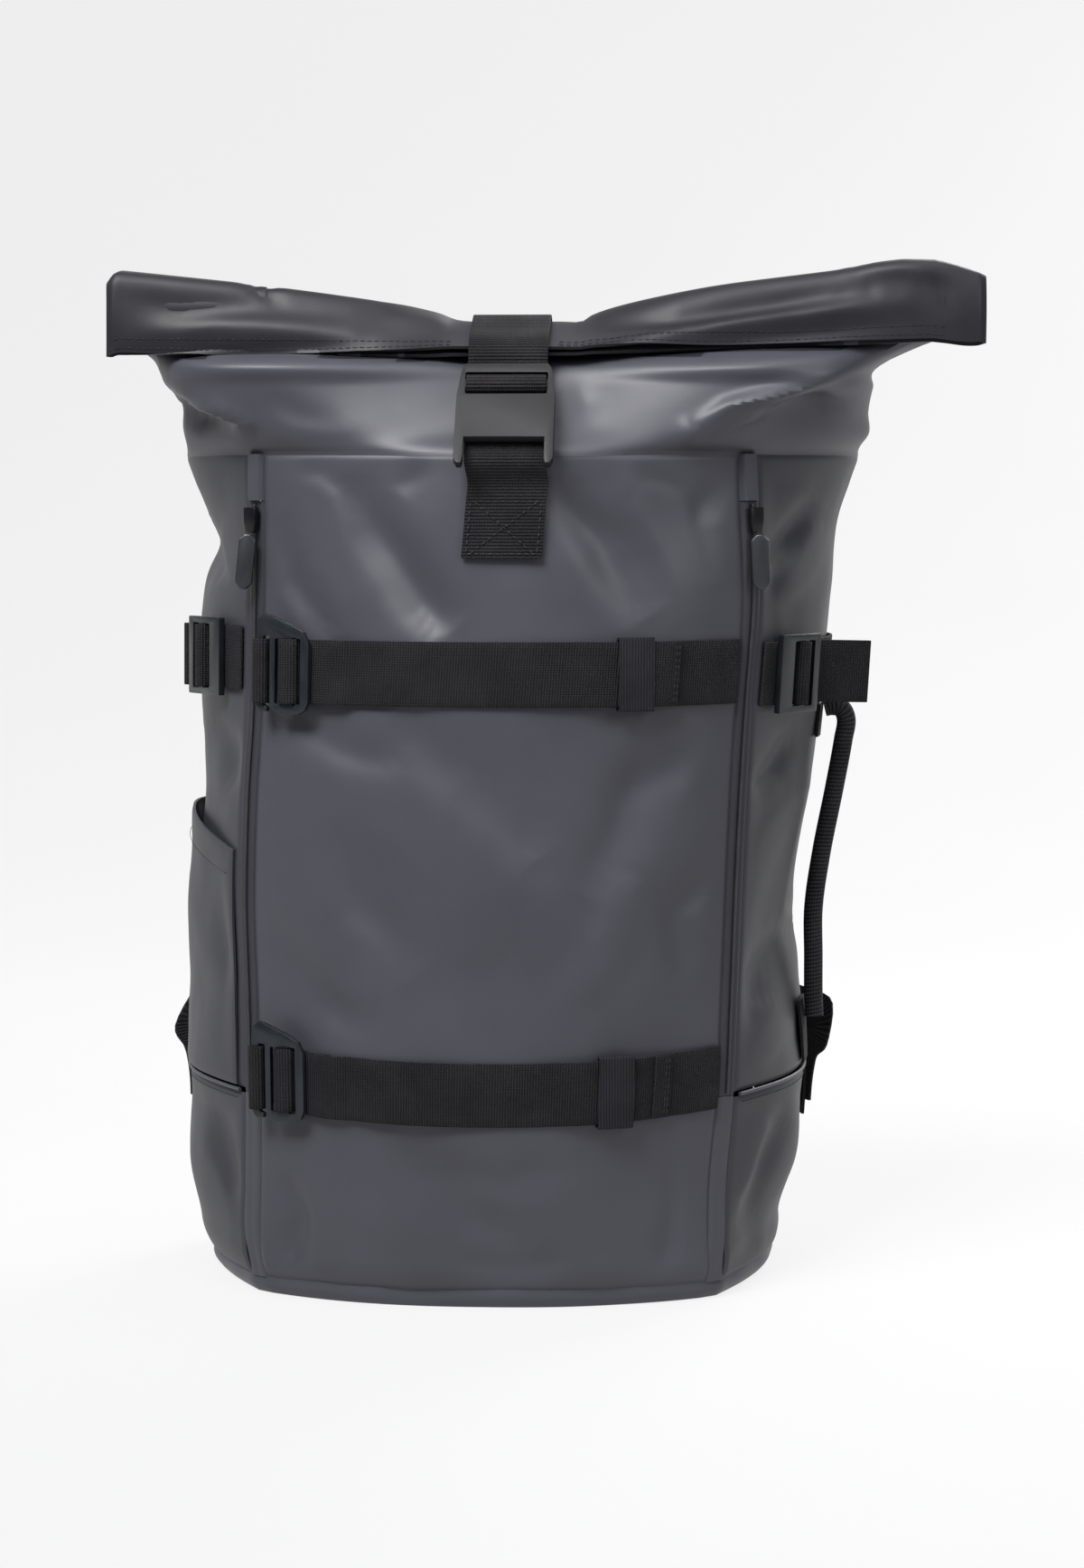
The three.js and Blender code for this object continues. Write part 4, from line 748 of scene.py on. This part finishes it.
def neck_point(turn, left, share):
    front_y, corner_turn, corner_x, corner_y, left_x, right_x, side_y, back_x, back_y = neck_at(share)
    side = left_x if left else right_x
    curve = Rows([[0, 0, front_y], [corner_turn, corner_x * side / 0.83, corner_y], [1, side, side_y],
                  [1.33, back_x, back_y * 0.94], [2, 0, back_y]])
    x, y = curve(turn)
    z = BODY_HEIGHT + COLLAR_HEIGHT * share
    return [(-x if left else x) * ROLL_WIDTH / 2 + lean(z), y * BODY_DEPTH / 2, z]


def roll_point(turn, left, stage):
    across = 2 - turn if turn > 1 else turn
    from_strap = abs((-across if left else across) - STRAP_TURN) - PINCHED
    reach = 1 - PINCHED + (STRAP_TURN if left else -STRAP_TURN)
    ease = max(0.0, from_strap / reach) ** ROLL_EASE
    mix = {key: ROLL_STRAP[key] + (ROLL_END[key] - ROLL_STRAP[key]) * ease for key in ROLL_END}
    rise = ease * (24.5 if left else 31)
    layer = min(1, max(-1, (turn - 1) * ROLL_WIDTH / 2 / 3)) * (CLOTH + ROLL_SEAT)
    mid_y, mid_z = mix["y"] * BODY_DEPTH / 2, BODY_HEIGHT + ROLL_RISE + rise
    angle = math.radians(mix["turn"]) * min(1, max(0, stage - 1))
    radius = ROLL_BEND + layer
    straight = -mix["below"] * (1 - stage) if stage < 1 else 0
    flap = max(0, stage - 2) * mix["flap"]
    y = mid_y + radius * math.cos(angle) - flap * math.sin(angle)
    z = mid_z + radius * math.sin(angle) + flap * math.cos(angle) + straight
    narrow = 0.965 + 0.035 * stage if stage < 1 else 1
    return [(-1 if left else 1) * across * ROLL_WIDTH / 2 * narrow + lean(mid_z), y, z]


COLLAR_FOLDS = [
    # left, turn, share, half spans of both, depth
    (False, 0.72, 0.2, 0.12, 0.25, -7),
    (False, 0.8, 0.6, 0.1, 0.25, 3),
    (True, 0.86, 0.35, 0.08, 0.25, -6),
    (True, 0.74, 0.4, 0.07, 0.3, 3),
    (False, 1.6, 0.5, 0.2, 0.3, -4),
]
CREASES["collar"] = [
    (3.4, 9, (178, 408), (205, 432), (240, 455), (272, 470), (266, 486)),
    (-6.5, 11, (192, 436), (220, 464), (244, 474), (246, 492)),
    (2.2, 9, (212, 470), (226, 488), (238, 498)),
    (-1.2, 16, (290, 436), (330, 464), (390, 482)),
    (-1.0, 16, (640, 420), (650, 450), (645, 485)),
    (4.4, 10, (990, 388), (947, 402), (881, 427), (806, 452), (768, 474)),
    (-8.0, 16, (936, 442), (900, 456), (840, 478), (788, 490)),
    (2.4, 8, (760, 470), (768, 490), (800, 500), (860, 503)),
]
CREASES["roll"] = [
    (-1.3, 17, (140, 330), (200, 342), (290, 340), (420, 352)),
    (1.3, 15, (150, 372), (240, 362), (330, 366), (420, 372)),
    (-1.6, 8, (132, 392), (200, 396), (290, 388), (380, 384)),
    (1.4, 12, (420, 350), (470, 358), (520, 362)),
    (-1.2, 8, (276, 316), (298, 322), (312, 338)),
    (-1.8, 12, (640, 366), (740, 356), (840, 340), (960, 322)),
    (1.8, 12, (660, 382), (760, 366), (880, 350), (1000, 336)),
    (-1.0, 11, (700, 388), (800, 378), (900, 366), (1010, 356)),
    (1.4, 10, (940, 300), (1000, 296), (1050, 304)),
    (-1.6, 9, (1030, 300), (1040, 325), (1044, 360)),
]


def half_turn(around):
    """Whether a place round the bag is on the left, and its turn round the collar."""
    left = around < 0.5 or around > 4.5
    folded = 1 - around if around < 0.5 else (9 - around if around > 4.5 else around)
    return left, float(np.interp(folded, *TURNS))


def collar_grid():
    """Base points of the collar: rows from the seam up, over the roll and down to the hem."""
    side = np.concatenate([np.linspace(2, 2.5, 10), np.linspace(2.5, 2.7, 17)[1:], np.linspace(2.7, 4, 24)[1:]])
    half = np.concatenate([np.linspace(0.5, 1, 84), np.linspace(1, 2, 6)[1:], side[1:], np.linspace(4, 4.5, 40)[1:]])
    round_places = np.concatenate([1 - half[::-1], half[1:]])  # from the middle of the back, by the left
    round_places = np.where(round_places < 0, round_places + 8, round_places)
    columns = []
    for around in round_places:
        left, turn = half_turn(around)
        column = [body_point(around, BODY_HEIGHT - 3.0, -1.9), body_point(around, float(BODY_HEIGHT)) + [0, 0, GAP / 2]]
        column += [neck_point(turn, left, share) for share in NECK_SHARES]
        column += [roll_point(turn, left, stage) for stage in ROLL_STAGES]
        columns.append(np.array(column, float))
    return np.stack(columns, axis=1), round_places


def refine(points, counts):
    """More rows between the given ones, on a smooth curve along each column."""
    length = np.arange(len(points), dtype=float)
    at = np.concatenate([np.linspace(i, i + 1, n, endpoint=False) for i, n in enumerate(counts)] + [[length[-1]]])
    flat = points.reshape(len(points), -1)
    curve = Rows(np.concatenate([length[:, None], flat], axis=1))
    return curve(at).reshape(len(at), points.shape[1], 3), at


coarse, collar_places = collar_grid()
out = grid_out(coarse, ring=True)
for j, share in enumerate(NECK_SHARES):
    for i, around in enumerate(collar_places):
        left, turn = half_turn(around)
        for on_left, at_turn, at_share, across, along, deep in COLLAR_FOLDS:
            if on_left == left:
                far = ((turn - at_turn) / across) ** 2 + ((share - at_share) / along) ** 2
                coarse[j + 2, i] += out[j + 2, i] * deep * math.exp(-far)
collar_points, row_at = refine(coarse, [2, 6, 7, 7, 7, 6, 6, 5, 5, 5, 8, 8])
row_at -= 1
above_neck = np.clip(row_at - 4, 0, 1)[:, None]
ends = np.abs(collar_points[..., 0] - lean(BODY_HEIGHT + ROLL_RISE))
right_half = collar_points[..., 0] > lean(BODY_HEIGHT)
level = collar_points[4:, :, 2]
share_up = (collar_points[..., 2] - level.min(axis=0)) / (level.max(axis=0) - level.min(axis=0))
near_end = np.clip((ends - (ROLL_WIDTH / 2 - np.where(right_half, 22, 9))) / np.where(right_half, 22, 9), 0, 1)
drop = near_end**1.3 * np.where(right_half, 8, 6) * np.clip(share_up, 0, 1)
raise_low = near_end**4 * 5 * np.clip(1 - share_up, 0, 1)
collar_points[..., 2] += (raise_low - drop) * above_neck
collar_points[:, -1] = collar_points[:, 0]
out = grid_out(collar_points, ring=True)
on_neck = np.clip(1 - np.abs(row_at - 2.4) / 2.6, 0, 1)[:, None]
on_roll = np.clip(row_at - 6, 0, 1)[:, None]
soft = ripple(collar_points, 44, 0.9) * np.clip(row_at / 2, 0, 1)[:, None]
soft += crease_depth(collar_points, CREASES["collar"]) * on_neck
front_layer = ((collar_places < 1.6) | (collar_places > 7.4))[None, :]
soft += crease_depth(collar_points, CREASES["roll"]) * on_roll * ~front_layer
from_strap = np.abs(collar_points[..., 0] - STRAP_TURN * ROLL_WIDTH / 2 - lean(BODY_HEIGHT + ROLL_RISE))
full = np.sin(np.pi * np.clip((row_at - 7.6) / 3.4, 0, 1) ** 0.8)[:, None] * np.clip((from_strap - 30) / 45, 0, 1)
collar_points[..., 1] -= ROLL_FULLNESS * full * ~front_layer
soft -= 0.6 * np.exp(-((row_at * 7 / 1.5) ** 2))[:, None]
collar_points += out * soft[..., None]
collar_points[:, -1] = collar_points[:, 0]
collar_cloth = grid_of(collar_points, ring=True)
nearby = kdtree.KDTree(collar_points[..., 0].size)
for i, point in enumerate(collar_points.reshape(-1, 3)):
    nearby.insert(point * MM, i)
nearby.balance()
# Faces of the roll get the darker cloth: painted shade on the roll.
for face in collar_cloth.data.polygons:
    row = nearby.find(face.center)[1] // collar_points.shape[1]
    face.material_index = int(row_at[row] > ROLL_SHADE_FROM)
collar_cloth = thicken(collar_cloth, CLOTH - 0.2)
put_on(collar_cloth, "collar_cloth", cloth, "collar")
collar_cloth.data.materials.append(shaded_roll_cloth.material)
print("collar faces:", len(collar_cloth.data.polygons))

# %% [markdown]
# ## Webbing
# Each strap in the CAD model is a flat strip with a section at each step of its route. Those sections are
# read back from the node: two short edges as thick as the webbing, joined by two edges as long as it is
# wide. A smooth curve through them then carries a finer strip, with its own map so that ribs and cords
# follow the strap wherever it goes.


# %% Helpers for webbing
def sections_of(node, width, thick=WEB):
    """Middle and half width of a strap's sections, in millimetres and in order along it."""
    work = bmesh.new()
    work.from_mesh(NODES[node].data)
    bmesh.ops.remove_doubles(work, verts=work.verts, dist=2e-6)
    where = {v: np.array(v.co) / MM for v in work.verts}

    def linked(vert, length):
        ends = [e.other_vert(vert) for e in vert.link_edges]
        return [v for v in ends if abs(np.linalg.norm(where[v] - where[vert]) - length) < 0.02]

    section_of, sections = {}, []
    for vert in work.verts:
        if vert in section_of:
            continue
        for below in linked(vert, thick):
            for beside in linked(vert, width):
                fourth = [v for v in linked(beside, thick) if v in linked(below, width)]
                if fourth and not any(v in section_of for v in (below, beside, fourth[0])):
                    four = (vert, below, beside, fourth[0])
                    section_of.update({v: len(sections) for v in four})
                    sections.append(four)
                    break
            if vert in section_of:
                break
    near = [set() for _ in sections]
    for edge in work.edges:
        a, b = (section_of.get(v) for v in edge.verts)
        if a is not None and b is not None and a != b:
            near[a].add(b)
            near[b].add(a)
    order = [min(i for i in range(len(sections)) if len(near[i]) == 1)]
    while len(order) < len(sections):
        ahead_of = [i for i in near[order[-1]] if i not in order]
        if not ahead_of:
            break
        order.append(ahead_of[0])
    middle = np.array([sum(where[v] for v in sections[i]) / 4 for i in order])
    half = []
    for i in order:
        a, below, beside, fourth = (where[v] for v in sections[i])
        across = (beside + fourth - a - below) / 4
        if half and across @ half[-1] < 0:
            across = -across
        half.append(across)
    work.free()
    print(node, "sections:", len(order), "of", len(sections))
    return middle, np.array(half)


def along_route(middle, half, pitch):
    """The same strap with a step every pitch millimetres, on a smooth curve."""
    step = np.linalg.norm(np.diff(middle, axis=0), axis=1)
    far = np.concatenate([[0], np.cumsum(step)])
    curve = Rows(np.concatenate([far[:, None], middle, half], axis=1))
    at = np.linspace(0, far[-1], max(8, round(far[-1] / pitch)))
    found = curve(at)
    return found[:, :3], found[:, 3:], at


def strip(middle, half, at, thick=WEB, columns=9):
    """A strip of webbing along a route, with round selvedges."""
    across = np.linspace(-1, 1, columns)
    points = middle[:, None] + half[:, None] * across[None, :, None]
    width = np.linalg.norm(half, axis=1)[:, None] * across[None, :]
    weave = np.stack([np.broadcast_to(at[:, None], width.shape), width], axis=-1)
    piece = grid_of(points, weave)
    apply_modifier(piece, "SOLIDIFY", thickness=thick * MM, offset=0.0)
    apply_modifier(piece, "BEVEL", width=thick * 0.3 * MM, segments=2, limit_method="ANGLE", angle_limit=math.radians(50))
    bpy.ops.object.shade_smooth_by_angle(angle=math.radians(50))
    return piece


def strap_piece(name, node, width, finish, pitch=1.6, thick=WEB):
    middle, half = sections_of(node, width, thick)
    route = along_route(middle, half, pitch)
    put_on(strip(*route, thick=thick - 0.2), name, finish, node)
    return route


# %% Lines on a strap
def strap_row(route, low, high, across, lift, count=30):
    """A line on a strap, from low to high along it and at a share across it, both can be pairs."""
    middle, half, at = route
    t = np.linspace(0, 1, count)
    along = low + (high - low) * t
    share = across[0] + (across[1] - across[0]) * t
    point = np.stack([np.interp(along, at, middle[:, i]) for i in range(3)], axis=-1)
    width = np.stack([np.interp(along, at, half[:, i]) for i in range(3)], axis=-1)
    run = np.gradient(middle, axis=0)
    run = np.stack([np.interp(along, at, run[:, i]) for i in range(3)], axis=-1)
    off = unit(np.cross(run, width))
    outwards = off @ np.array([0.0, -1, 0]) if abs(off[0, 1]) > 0.5 else off[:, 0] * np.sign(point[:, 0])
    off = off * np.sign(outwards)[:, None]
    return point + width * share[:, None] + off * lift, off


# %% [markdown]
# ## Stitches
# A stitch is a small bead of thread, modelled once from a sphere with few faces. Every row of stitches
# is one piece: the bead is copied along a line on the cloth, turned to the line and pressed into it.

# %% Stitches
bpy.ops.object.select_all(action="DESELECT")
bpy.ops.mesh.primitive_uv_sphere_add(segments=8, ring_count=5, radius=1)
bead = bpy.context.object
BEAD = np.array([v.co[:] for v in bead.data.vertices])
BEAD_FACES = [tuple(p.vertices) for p in bead.data.polygons]
bpy.data.objects.remove(bead)


def stitches(name, rows, length=2.6, gap=1.0, thick=0.5, finish=thread):
    """Rows of stitches. Each row is points in millimetres and the way off the cloth at each."""
    vertices, faces = [], []
    for points, off in rows:
        points, off = np.asarray(points, float), np.asarray(off, float)
        far = np.concatenate([[0], np.cumsum(np.linalg.norm(np.diff(points, axis=0), axis=1))])
        count = max(1, int(far[-1] / (length + gap)))
        for k in range(count):
            low = (k + 0.5) * far[-1] / count
            ends = [np.array([np.interp(low + s * length / 2, far, points[:, i]) for i in range(3)]) for s in (-1, 1)]
            up = unit(np.array([np.interp(low, far, off[:, i]) for i in range(3)]))
            run = unit(ends[1] - ends[0])
            side = np.cross(up, run)
            turned = BEAD[:, :1] * run * length / 2 + BEAD[:, 1:2] * side * thick / 2 + BEAD[:, 2:] * up * thick / 2.4
            faces += [tuple(i + len(vertices) for i in face) for face in BEAD_FACES]
            vertices.extend(turned + (ends[0] + ends[1]) / 2)
    mesh = bpy.data.meshes.new(name)
    mesh.from_pydata([tuple(v * MM) for v in vertices], [], faces)
    piece = bpy.data.objects.new(name, mesh)
    bpy.context.scene.collection.objects.link(piece)
    select_only(piece)
    bpy.ops.object.shade_smooth()
    return put_on(piece, name, finish)


# %% [markdown]
# ## Straps of the bag
# Two straps cross the front. Each goes round the middle bar of its hook, passes under a keeper and is
# sewn into the right zip seam. The loop that holds the hook comes out of the left one. The side straps
# run from the back to a lock near the zip, and the top strap goes from the back over the roll.

# %% Straps of the bag
front_routes = {}
for place in ("upper", "lower"):
    front_routes[place] = strap_piece(place + "_front_strap", "strap_" + place, 30, webbing_finish)
    strap_piece(place + "_hook_loop", "hook_loop_" + place, 30, webbing_finish, pitch=0.8)
for side in ("left", "right"):
    strap_piece(side + "_lock_tab", "side_strap_front_" + side, 30, webbing_finish)
    strap_piece(side + "_side_strap", "side_strap_back_" + side, 30, webbing_finish)
    strap_piece(side + "_shoulder_webbing", "shoulder_web_" + side, 25, webbing_finish, pitch=2)


def at_pixel(route, across):
    """How far along a strap it crosses a column of the photograph."""
    seen = in_photo(route[0])[:, 0]
    order = np.argsort(seen)
    return float(np.interp(across, seen[order], route[2][order]))


def strap_layer(name, route, low, high, lift):
    """A second layer of webbing sewn onto a strap, between two columns of the photograph."""
    middle, half, at = route
    ends = sorted((at_pixel(route, low), at_pixel(route, high)))
    along = np.linspace(*ends, 14)
    line, off = strap_row(route, ends[0], ends[1], (0, 0), lift, 14)
    width = np.stack([np.interp(along, at, half[:, i]) for i in range(3)], axis=-1)
    return put_on(strip(line, width * 0.985, along, thick=1.2), name, webbing_finish)


strap_layer("upper_strap_end", front_routes["upper"], 719, 750, 1.5)
strap_layer("lower_strap_end", front_routes["lower"], 722, 740, 1.5)
top_route = strap_piece("top_closure_strap", "top_strap", 38 - 4 * GAP, broad_webbing)
lower_route = strap_piece("lower_closure_webbing", "lower_webbing", 38 - 4 * GAP, broad_webbing)

# %% [markdown]
# ## Hard pieces
# Hooks, locks, buckle and zip pulls already have their true outline in the CAD model. A copy of each is
# merged, its flat faces are dissolved back to whole faces, and a bevel rounds the edges as in a mould
# or after tumbling, so that they catch the light.


# %% Helper for hard pieces
def merged_copy(node, whole_faces=False):
    """A copy of a CAD piece with its doubled corners merged, and its flat faces whole if wanted."""
    copy = NODES[node].copy()
    copy.data = NODES[node].data.copy()
    copy.parent = None
    copy.matrix_world = Matrix()
    bpy.context.scene.collection.objects.link(copy)
    select_only(copy)
    bpy.ops.object.mode_set(mode="EDIT")
    bpy.ops.mesh.select_all(action="SELECT")
    bpy.ops.mesh.remove_doubles(threshold=2e-6)
    if whole_faces:
        bpy.ops.mesh.dissolve_limited(angle_limit=math.radians(1))
    bpy.ops.object.mode_set(mode="OBJECT")
    return copy


def hard_piece(name, node, finish, width, segments=3, angle=35):
    copy = merged_copy(node, whole_faces=True)
    apply_modifier(copy, "BEVEL", width=width * MM, segments=segments, limit_method="ANGLE",
                   angle_limit=math.radians(angle), use_clamp_overlap=True, harden_normals=False)
    bpy.ops.object.shade_smooth_by_angle(angle=math.radians(50))
    return put_on(copy, name, finish, node)


# %% Hard pieces
for place in ("upper", "lower"):
    hard_piece(place + "_hook", "g_hook_" + place, hook_metal, 0.8, 3)
    hard_piece(place + "_keeper", "keeper_" + place, elastic_finish, 0.35)
for side in ("left", "right"):
    hard_piece(side + "_lock", "ladder_lock_" + side, lock_plastic, 1.2, 4)
    hard_piece(side + "_adjuster", "adjuster_" + side, lock_plastic, 0.6)
    hard_piece(side + "_zip_slider", "slider_" + side, slider_metal, 0.5)
    hard_piece(side + "_zip_puller", "puller_" + side, puller_rubber, 1.0, 4)
hard_piece("top_buckle", "buckle", buckle_plastic, 1.1, 4)
hard_piece("top_buckle_hook", "buckle_hook", buckle_plastic, 0.4)

# %% [markdown]
# ## Zips
# Beside each edge of the front lies a narrow strip with the zip in its middle. The coated tape hides
# the teeth, so what shows is a fine ribbed ridge between two folded edges of cloth.


# %% Zips
def zip_strip(side, start):
    """The strip beside the front: tape with its ridge, cloth hood on top and plain cloth below."""
    hood = BODY_HEIGHT - GARAGE
    for name, node, low, high, finish, rise in (
        (side + "_zip_tape", "zip_" + side, BOOT_HEIGHT, hood, cloth_edge, 0.5),
        (side + "_zip_hood", "zip_hood_" + side, hood, BODY_HEIGHT, cloth, 1.6),
        (side + "_zip_foot", "strip_" + side, BASE_SEAM, BOOT_HEIGHT, cloth, 0.3),
    ):
        a = np.linspace(start, start + 1, 29)
        z = spread(low + 0.15, high - 0.15, 1, 2.5)
        around_grid, z_grid = np.meshgrid(a, z)
        share = (around_grid - start) * ZIP_STRIP
        folds = rise * np.exp(-(((share - 2.6) / 1.9) ** 2)) + rise * np.exp(-(((share - 7.2) / 1.9) ** 2))
        if low == hood:
            folds = 2.0 * np.clip(np.minimum(share - 0.5, ZIP_STRIP - 0.5 - share) / 0.7, 0, 1)
        tucked = 1.6 * np.exp(-((np.minimum(share, ZIP_STRIP - share) / 0.45) ** 2))
        points = body_point(around_grid, z_grid, folds - 0.3 - tucked)
        sideways = unit(body_point(a + 1e-3, 200.0) - body_point(a - 1e-3, 200.0))
        points += sideways[None] * ((a - start - 0.5) * 2)[None, :, None] ** 9 * 1.1
        put_on(thicken(grid_of(points), 0.9), name, finish, node)
    z = np.arange(BOOT_HEIGHT + 1, hood - 1, 0.42)
    middle = body_point(start + 0.5, z, 0.75 + 0.16 * np.sin(z * 2 * np.pi / 1.3))
    run = body_point(start + 0.6, z) - body_point(start + 0.4, z)
    off = level_out(np.full(z.shape, start + 0.5), z)
    angles = np.linspace(0, 2 * np.pi, 8, endpoint=False)
    ring_x, ring_y = np.cos(angles) * 0.75, np.sin(angles) * 0.5
    points = middle[:, None] + unit(run)[:, None] * ring_x[None, :, None] + off[:, None] * ring_y[None, :, None]
    piece = grid_of(np.concatenate([points, points[:, :1]], axis=1), ring=True)
    bpy.ops.object.mode_set(mode="EDIT")
    bpy.ops.mesh.select_all(action="SELECT")
    bpy.ops.mesh.normals_make_consistent(inside=False)
    bpy.ops.object.mode_set(mode="OBJECT")
    bpy.ops.object.shade_smooth()
    put_on(piece, side + "_zip_coil", coil_plastic)


zip_strip("right", 1)
zip_strip("left", 7)


# %% [markdown]
# ## Round pieces
# The piping in the boot seam and the side handle are tubes. A tube is a grid whose columns go round a
# route, and its own map carries the weave. Both ends are closed with a fan of faces.


# %% Tubes
def tube(points, diameter, columns=16, pitch=1.2):
    points = np.asarray(points, float)
    far = np.concatenate([[0], np.cumsum(np.linalg.norm(np.diff(points, axis=0), axis=1))])
    at = np.linspace(0, far[-1], max(6, round(far[-1] / pitch)))
    middle = Rows(np.concatenate([far[:, None], points], axis=1))(at)
    run = unit(np.gradient(middle, axis=0))
    side = unit(np.cross(run, np.broadcast_to([0.0, 1.0, 0.12], run.shape)))
    up = np.cross(side, run)
    angle = np.linspace(0, 2 * np.pi, columns + 1)
    ring = np.cos(angle)[None, :, None] * side[:, None] + np.sin(angle)[None, :, None] * up[:, None]
    weave = np.stack(np.broadcast_arrays(at[:, None] + angle * 0.7, angle[None, :] * diameter / 2), axis=-1)
    piece = grid_of(middle[:, None] + ring * diameter / 2, weave, ring=True)
    bpy.ops.object.mode_set(mode="EDIT")
    bpy.ops.mesh.select_mode(type="EDGE")
    bpy.ops.mesh.select_all(action="DESELECT")
    bpy.ops.mesh.select_non_manifold(extend=False, use_wire=False, use_multi_face=False,
                                     use_non_contiguous=False, use_verts=False)
    bpy.ops.mesh.edge_face_add()
    bpy.ops.mesh.select_all(action="SELECT")
    bpy.ops.mesh.normals_make_consistent(inside=False)
    bpy.ops.object.mode_set(mode="OBJECT")
    bpy.ops.object.shade_smooth_by_angle(angle=math.radians(50))
    return piece


for side, low, high in (("right", 2.03, 3.98), ("left", 5.02, 6.97)):
    line = body_point(np.linspace(low, high, 60), float(BOOT_HEIGHT), 0.35)
    put_on(tube(line, 1.9, 10), side + "_boot_piping", cloth, "boot_piping_" + side)
HANDLE_ROUTE = [(0.69, 2.9), (0.6915, 6), (0.689, 11), (0.677, 13.9), (0.65, 13.6), (0.59, 12), (0.51, 11.5),
                (0.44, 10.5), (0.38, 9), (0.335, 7.4), (0.305, 6.7)]
handle_line = [body_point(2.85, share * BODY_HEIGHT, lift) for share, lift in HANDLE_ROUTE]
put_on(tube(handle_line, 9.3, 24, 0.9), "side_handle_cord", cord_finish, "side_handle")


# %% Tabs
def tab(name, node, around, heights, finish, lift, thick=WEB - 0.2):
    a, z = np.linspace(*around, 21), np.linspace(*heights, 25)
    around_grid, z_grid = np.meshgrid(a, z)
    points = body_point(around_grid, z_grid, lift)
    weave = np.stack([z_grid, (around_grid - a[0]) * 76], axis=-1)
    piece = thicken(grid_of(points, weave), thick, smooth=50)
    return put_on(piece, name, finish, node)


top_z, foot_z = 0.69 * BODY_HEIGHT, 0.305 * BODY_HEIGHT
tab("handle_tab_upper", "handle_tab_top", (2.73, 2.97), (top_z - 14, top_z + 2), fine_webbing, 1.95)
tab("handle_tab_lower", "handle_tab_foot", (2.73, 2.97), (foot_z - 21, foot_z + 9), fine_webbing, 1.95)
tab("right_anchor_tab", "anchor_tab_right", (3.1, 3.67), (68, 91), fine_webbing, 1.95)
tab("left_anchor_tab", "anchor_tab_left", (5.33, 5.9), (68, 91), fine_webbing, 1.95)


# %% [markdown]
# ## Pads
# The back pad and the shoulder pads are foam in mesh cloth. A copy of each solid is remeshed into even
# small faces and then blown up a little by a cloth simulation without gravity, which rounds its edges and
# tightens its faces as foam does. The movement is capped, so the pad stays clear of the back.


# %% Pads
def pad(name, node, voxel, cap, pressure=4.0):
    copy = merged_copy(node)
    apply_modifier(copy, "REMESH", mode="VOXEL", voxel_size=voxel * MM)
    start = np.array([v.co[:] for v in copy.data.vertices])
    settings = copy.modifiers.new("stuffing", "CLOTH").settings
    settings.use_pressure, settings.uniform_pressure_force = True, pressure
    settings.effector_weights.gravity = 0
    settings.quality = 4
    for step in range(1, 13):
        bpy.context.scene.frame_set(step)
    bpy.ops.object.modifier_apply(modifier="stuffing")
    bpy.context.scene.frame_set(1)
    ends = np.array([v.co[:] for v in copy.data.vertices])
    move = ends - start
    far = np.linalg.norm(move, axis=1, keepdims=True)
    ends = start + move * np.minimum(1, cap * MM / np.maximum(far, 1e-9))
    copy.data.vertices.foreach_set("co", ends.ravel())
    apply_modifier(copy, "SMOOTH", factor=0.5, iterations=3)
    apply_modifier(copy, "SUBSURF", levels=1, render_levels=1)
    bpy.ops.object.shade_smooth()
    piece = put_on(copy, name, mesh_finish, node)
    return piece


pad("back_padding", "back_pad", 3.2, 1.2)
pad("left_shoulder_padding", "shoulder_pad_left", 2.6, 1.2)
pad("right_shoulder_padding", "shoulder_pad_right", 2.6, 1.2)


# %% [markdown]
# ## Seams
# Top stitching shows at the hem of the roll, along the boots, at the mouth of the pocket and on the ends
# of the webbing.


# %% Seams
def body_row(low, high, height, lift, count=60):
    a = np.linspace(low, high, count)
    z = np.interp(a, np.linspace(low, high, len(height)), height)
    return body_point(a, z, lift), level_out(a, z)


stitches("boot_stitching", [
    body_row(2.05, 3.95, [BOOT_HEIGHT - 4.2] * 2, 0.1),
    body_row(5.05, 6.95, [BOOT_HEIGHT - 4.2] * 2, 0.1),
])
mouth = np.linspace(5.12, 6.92, 60)
mouth_z = pocket_mouth(mouth) - 13
mouth_line = body_point(mouth, mouth_z, pocket_lift(mouth, mouth_z) + 0.1)
stitches("pocket_stitching", [(mouth_line, level_out(mouth, mouth_z))])


def across_strap(place, column):
    along = at_pixel(front_routes[place], column)
    return strap_row(front_routes[place], along, along, (-0.9, 0.9), 2.15)


stitches("strap_stitching", [across_strap("upper", 744), across_strap("upper", 747.5), across_strap("lower", 734),
                             across_strap("lower", 737.5)], 2.0, 0.8, 0.7)


def hem_row(row, low, high):
    """Stitches along the flap of the roll: row counted from the hem, columns by their turn."""
    keep = [i for i, a in enumerate(collar_places) if 2.6 < a < 6.4]
    outside = grid_out(collar_points, ring=True)
    pick = [i for i in keep if low <= collar_points[-1, i, 0] <= high]
    pick.sort(key=lambda i: collar_points[-1, i, 0])
    return collar_points[row, pick] + outside[row, pick] * 0.15, outside[row, pick]


stitches("hem_stitching", [
    hem_row(-2, -188, -12), hem_row(-2, 34, 215),
    hem_row(-4, -188, -12), hem_row(-4, 34, 215),
], 2.4, 0.9, 0.45)
foot = lower_route[2][-1]
on_strap = 0.95
low_end, high_end = (2, 26) if lower_route[0][0, 2] < lower_route[0][-1, 2] else (foot - 26, foot - 2)
stitches("closure_stitching", [
    strap_row(lower_route, low_end, low_end, (-0.88, 0.88), on_strap),
    strap_row(lower_route, high_end, high_end, (-0.88, 0.88), on_strap),
    strap_row(lower_route, low_end, high_end, (-0.88, -0.88), on_strap),
    strap_row(lower_route, low_end, high_end, (0.88, 0.88), on_strap),
    strap_row(lower_route, low_end, high_end, (-0.8, 0.8), on_strap),
    strap_row(lower_route, low_end, high_end, (0.8, -0.8), on_strap),
], 2.2, 0.9, 0.85)
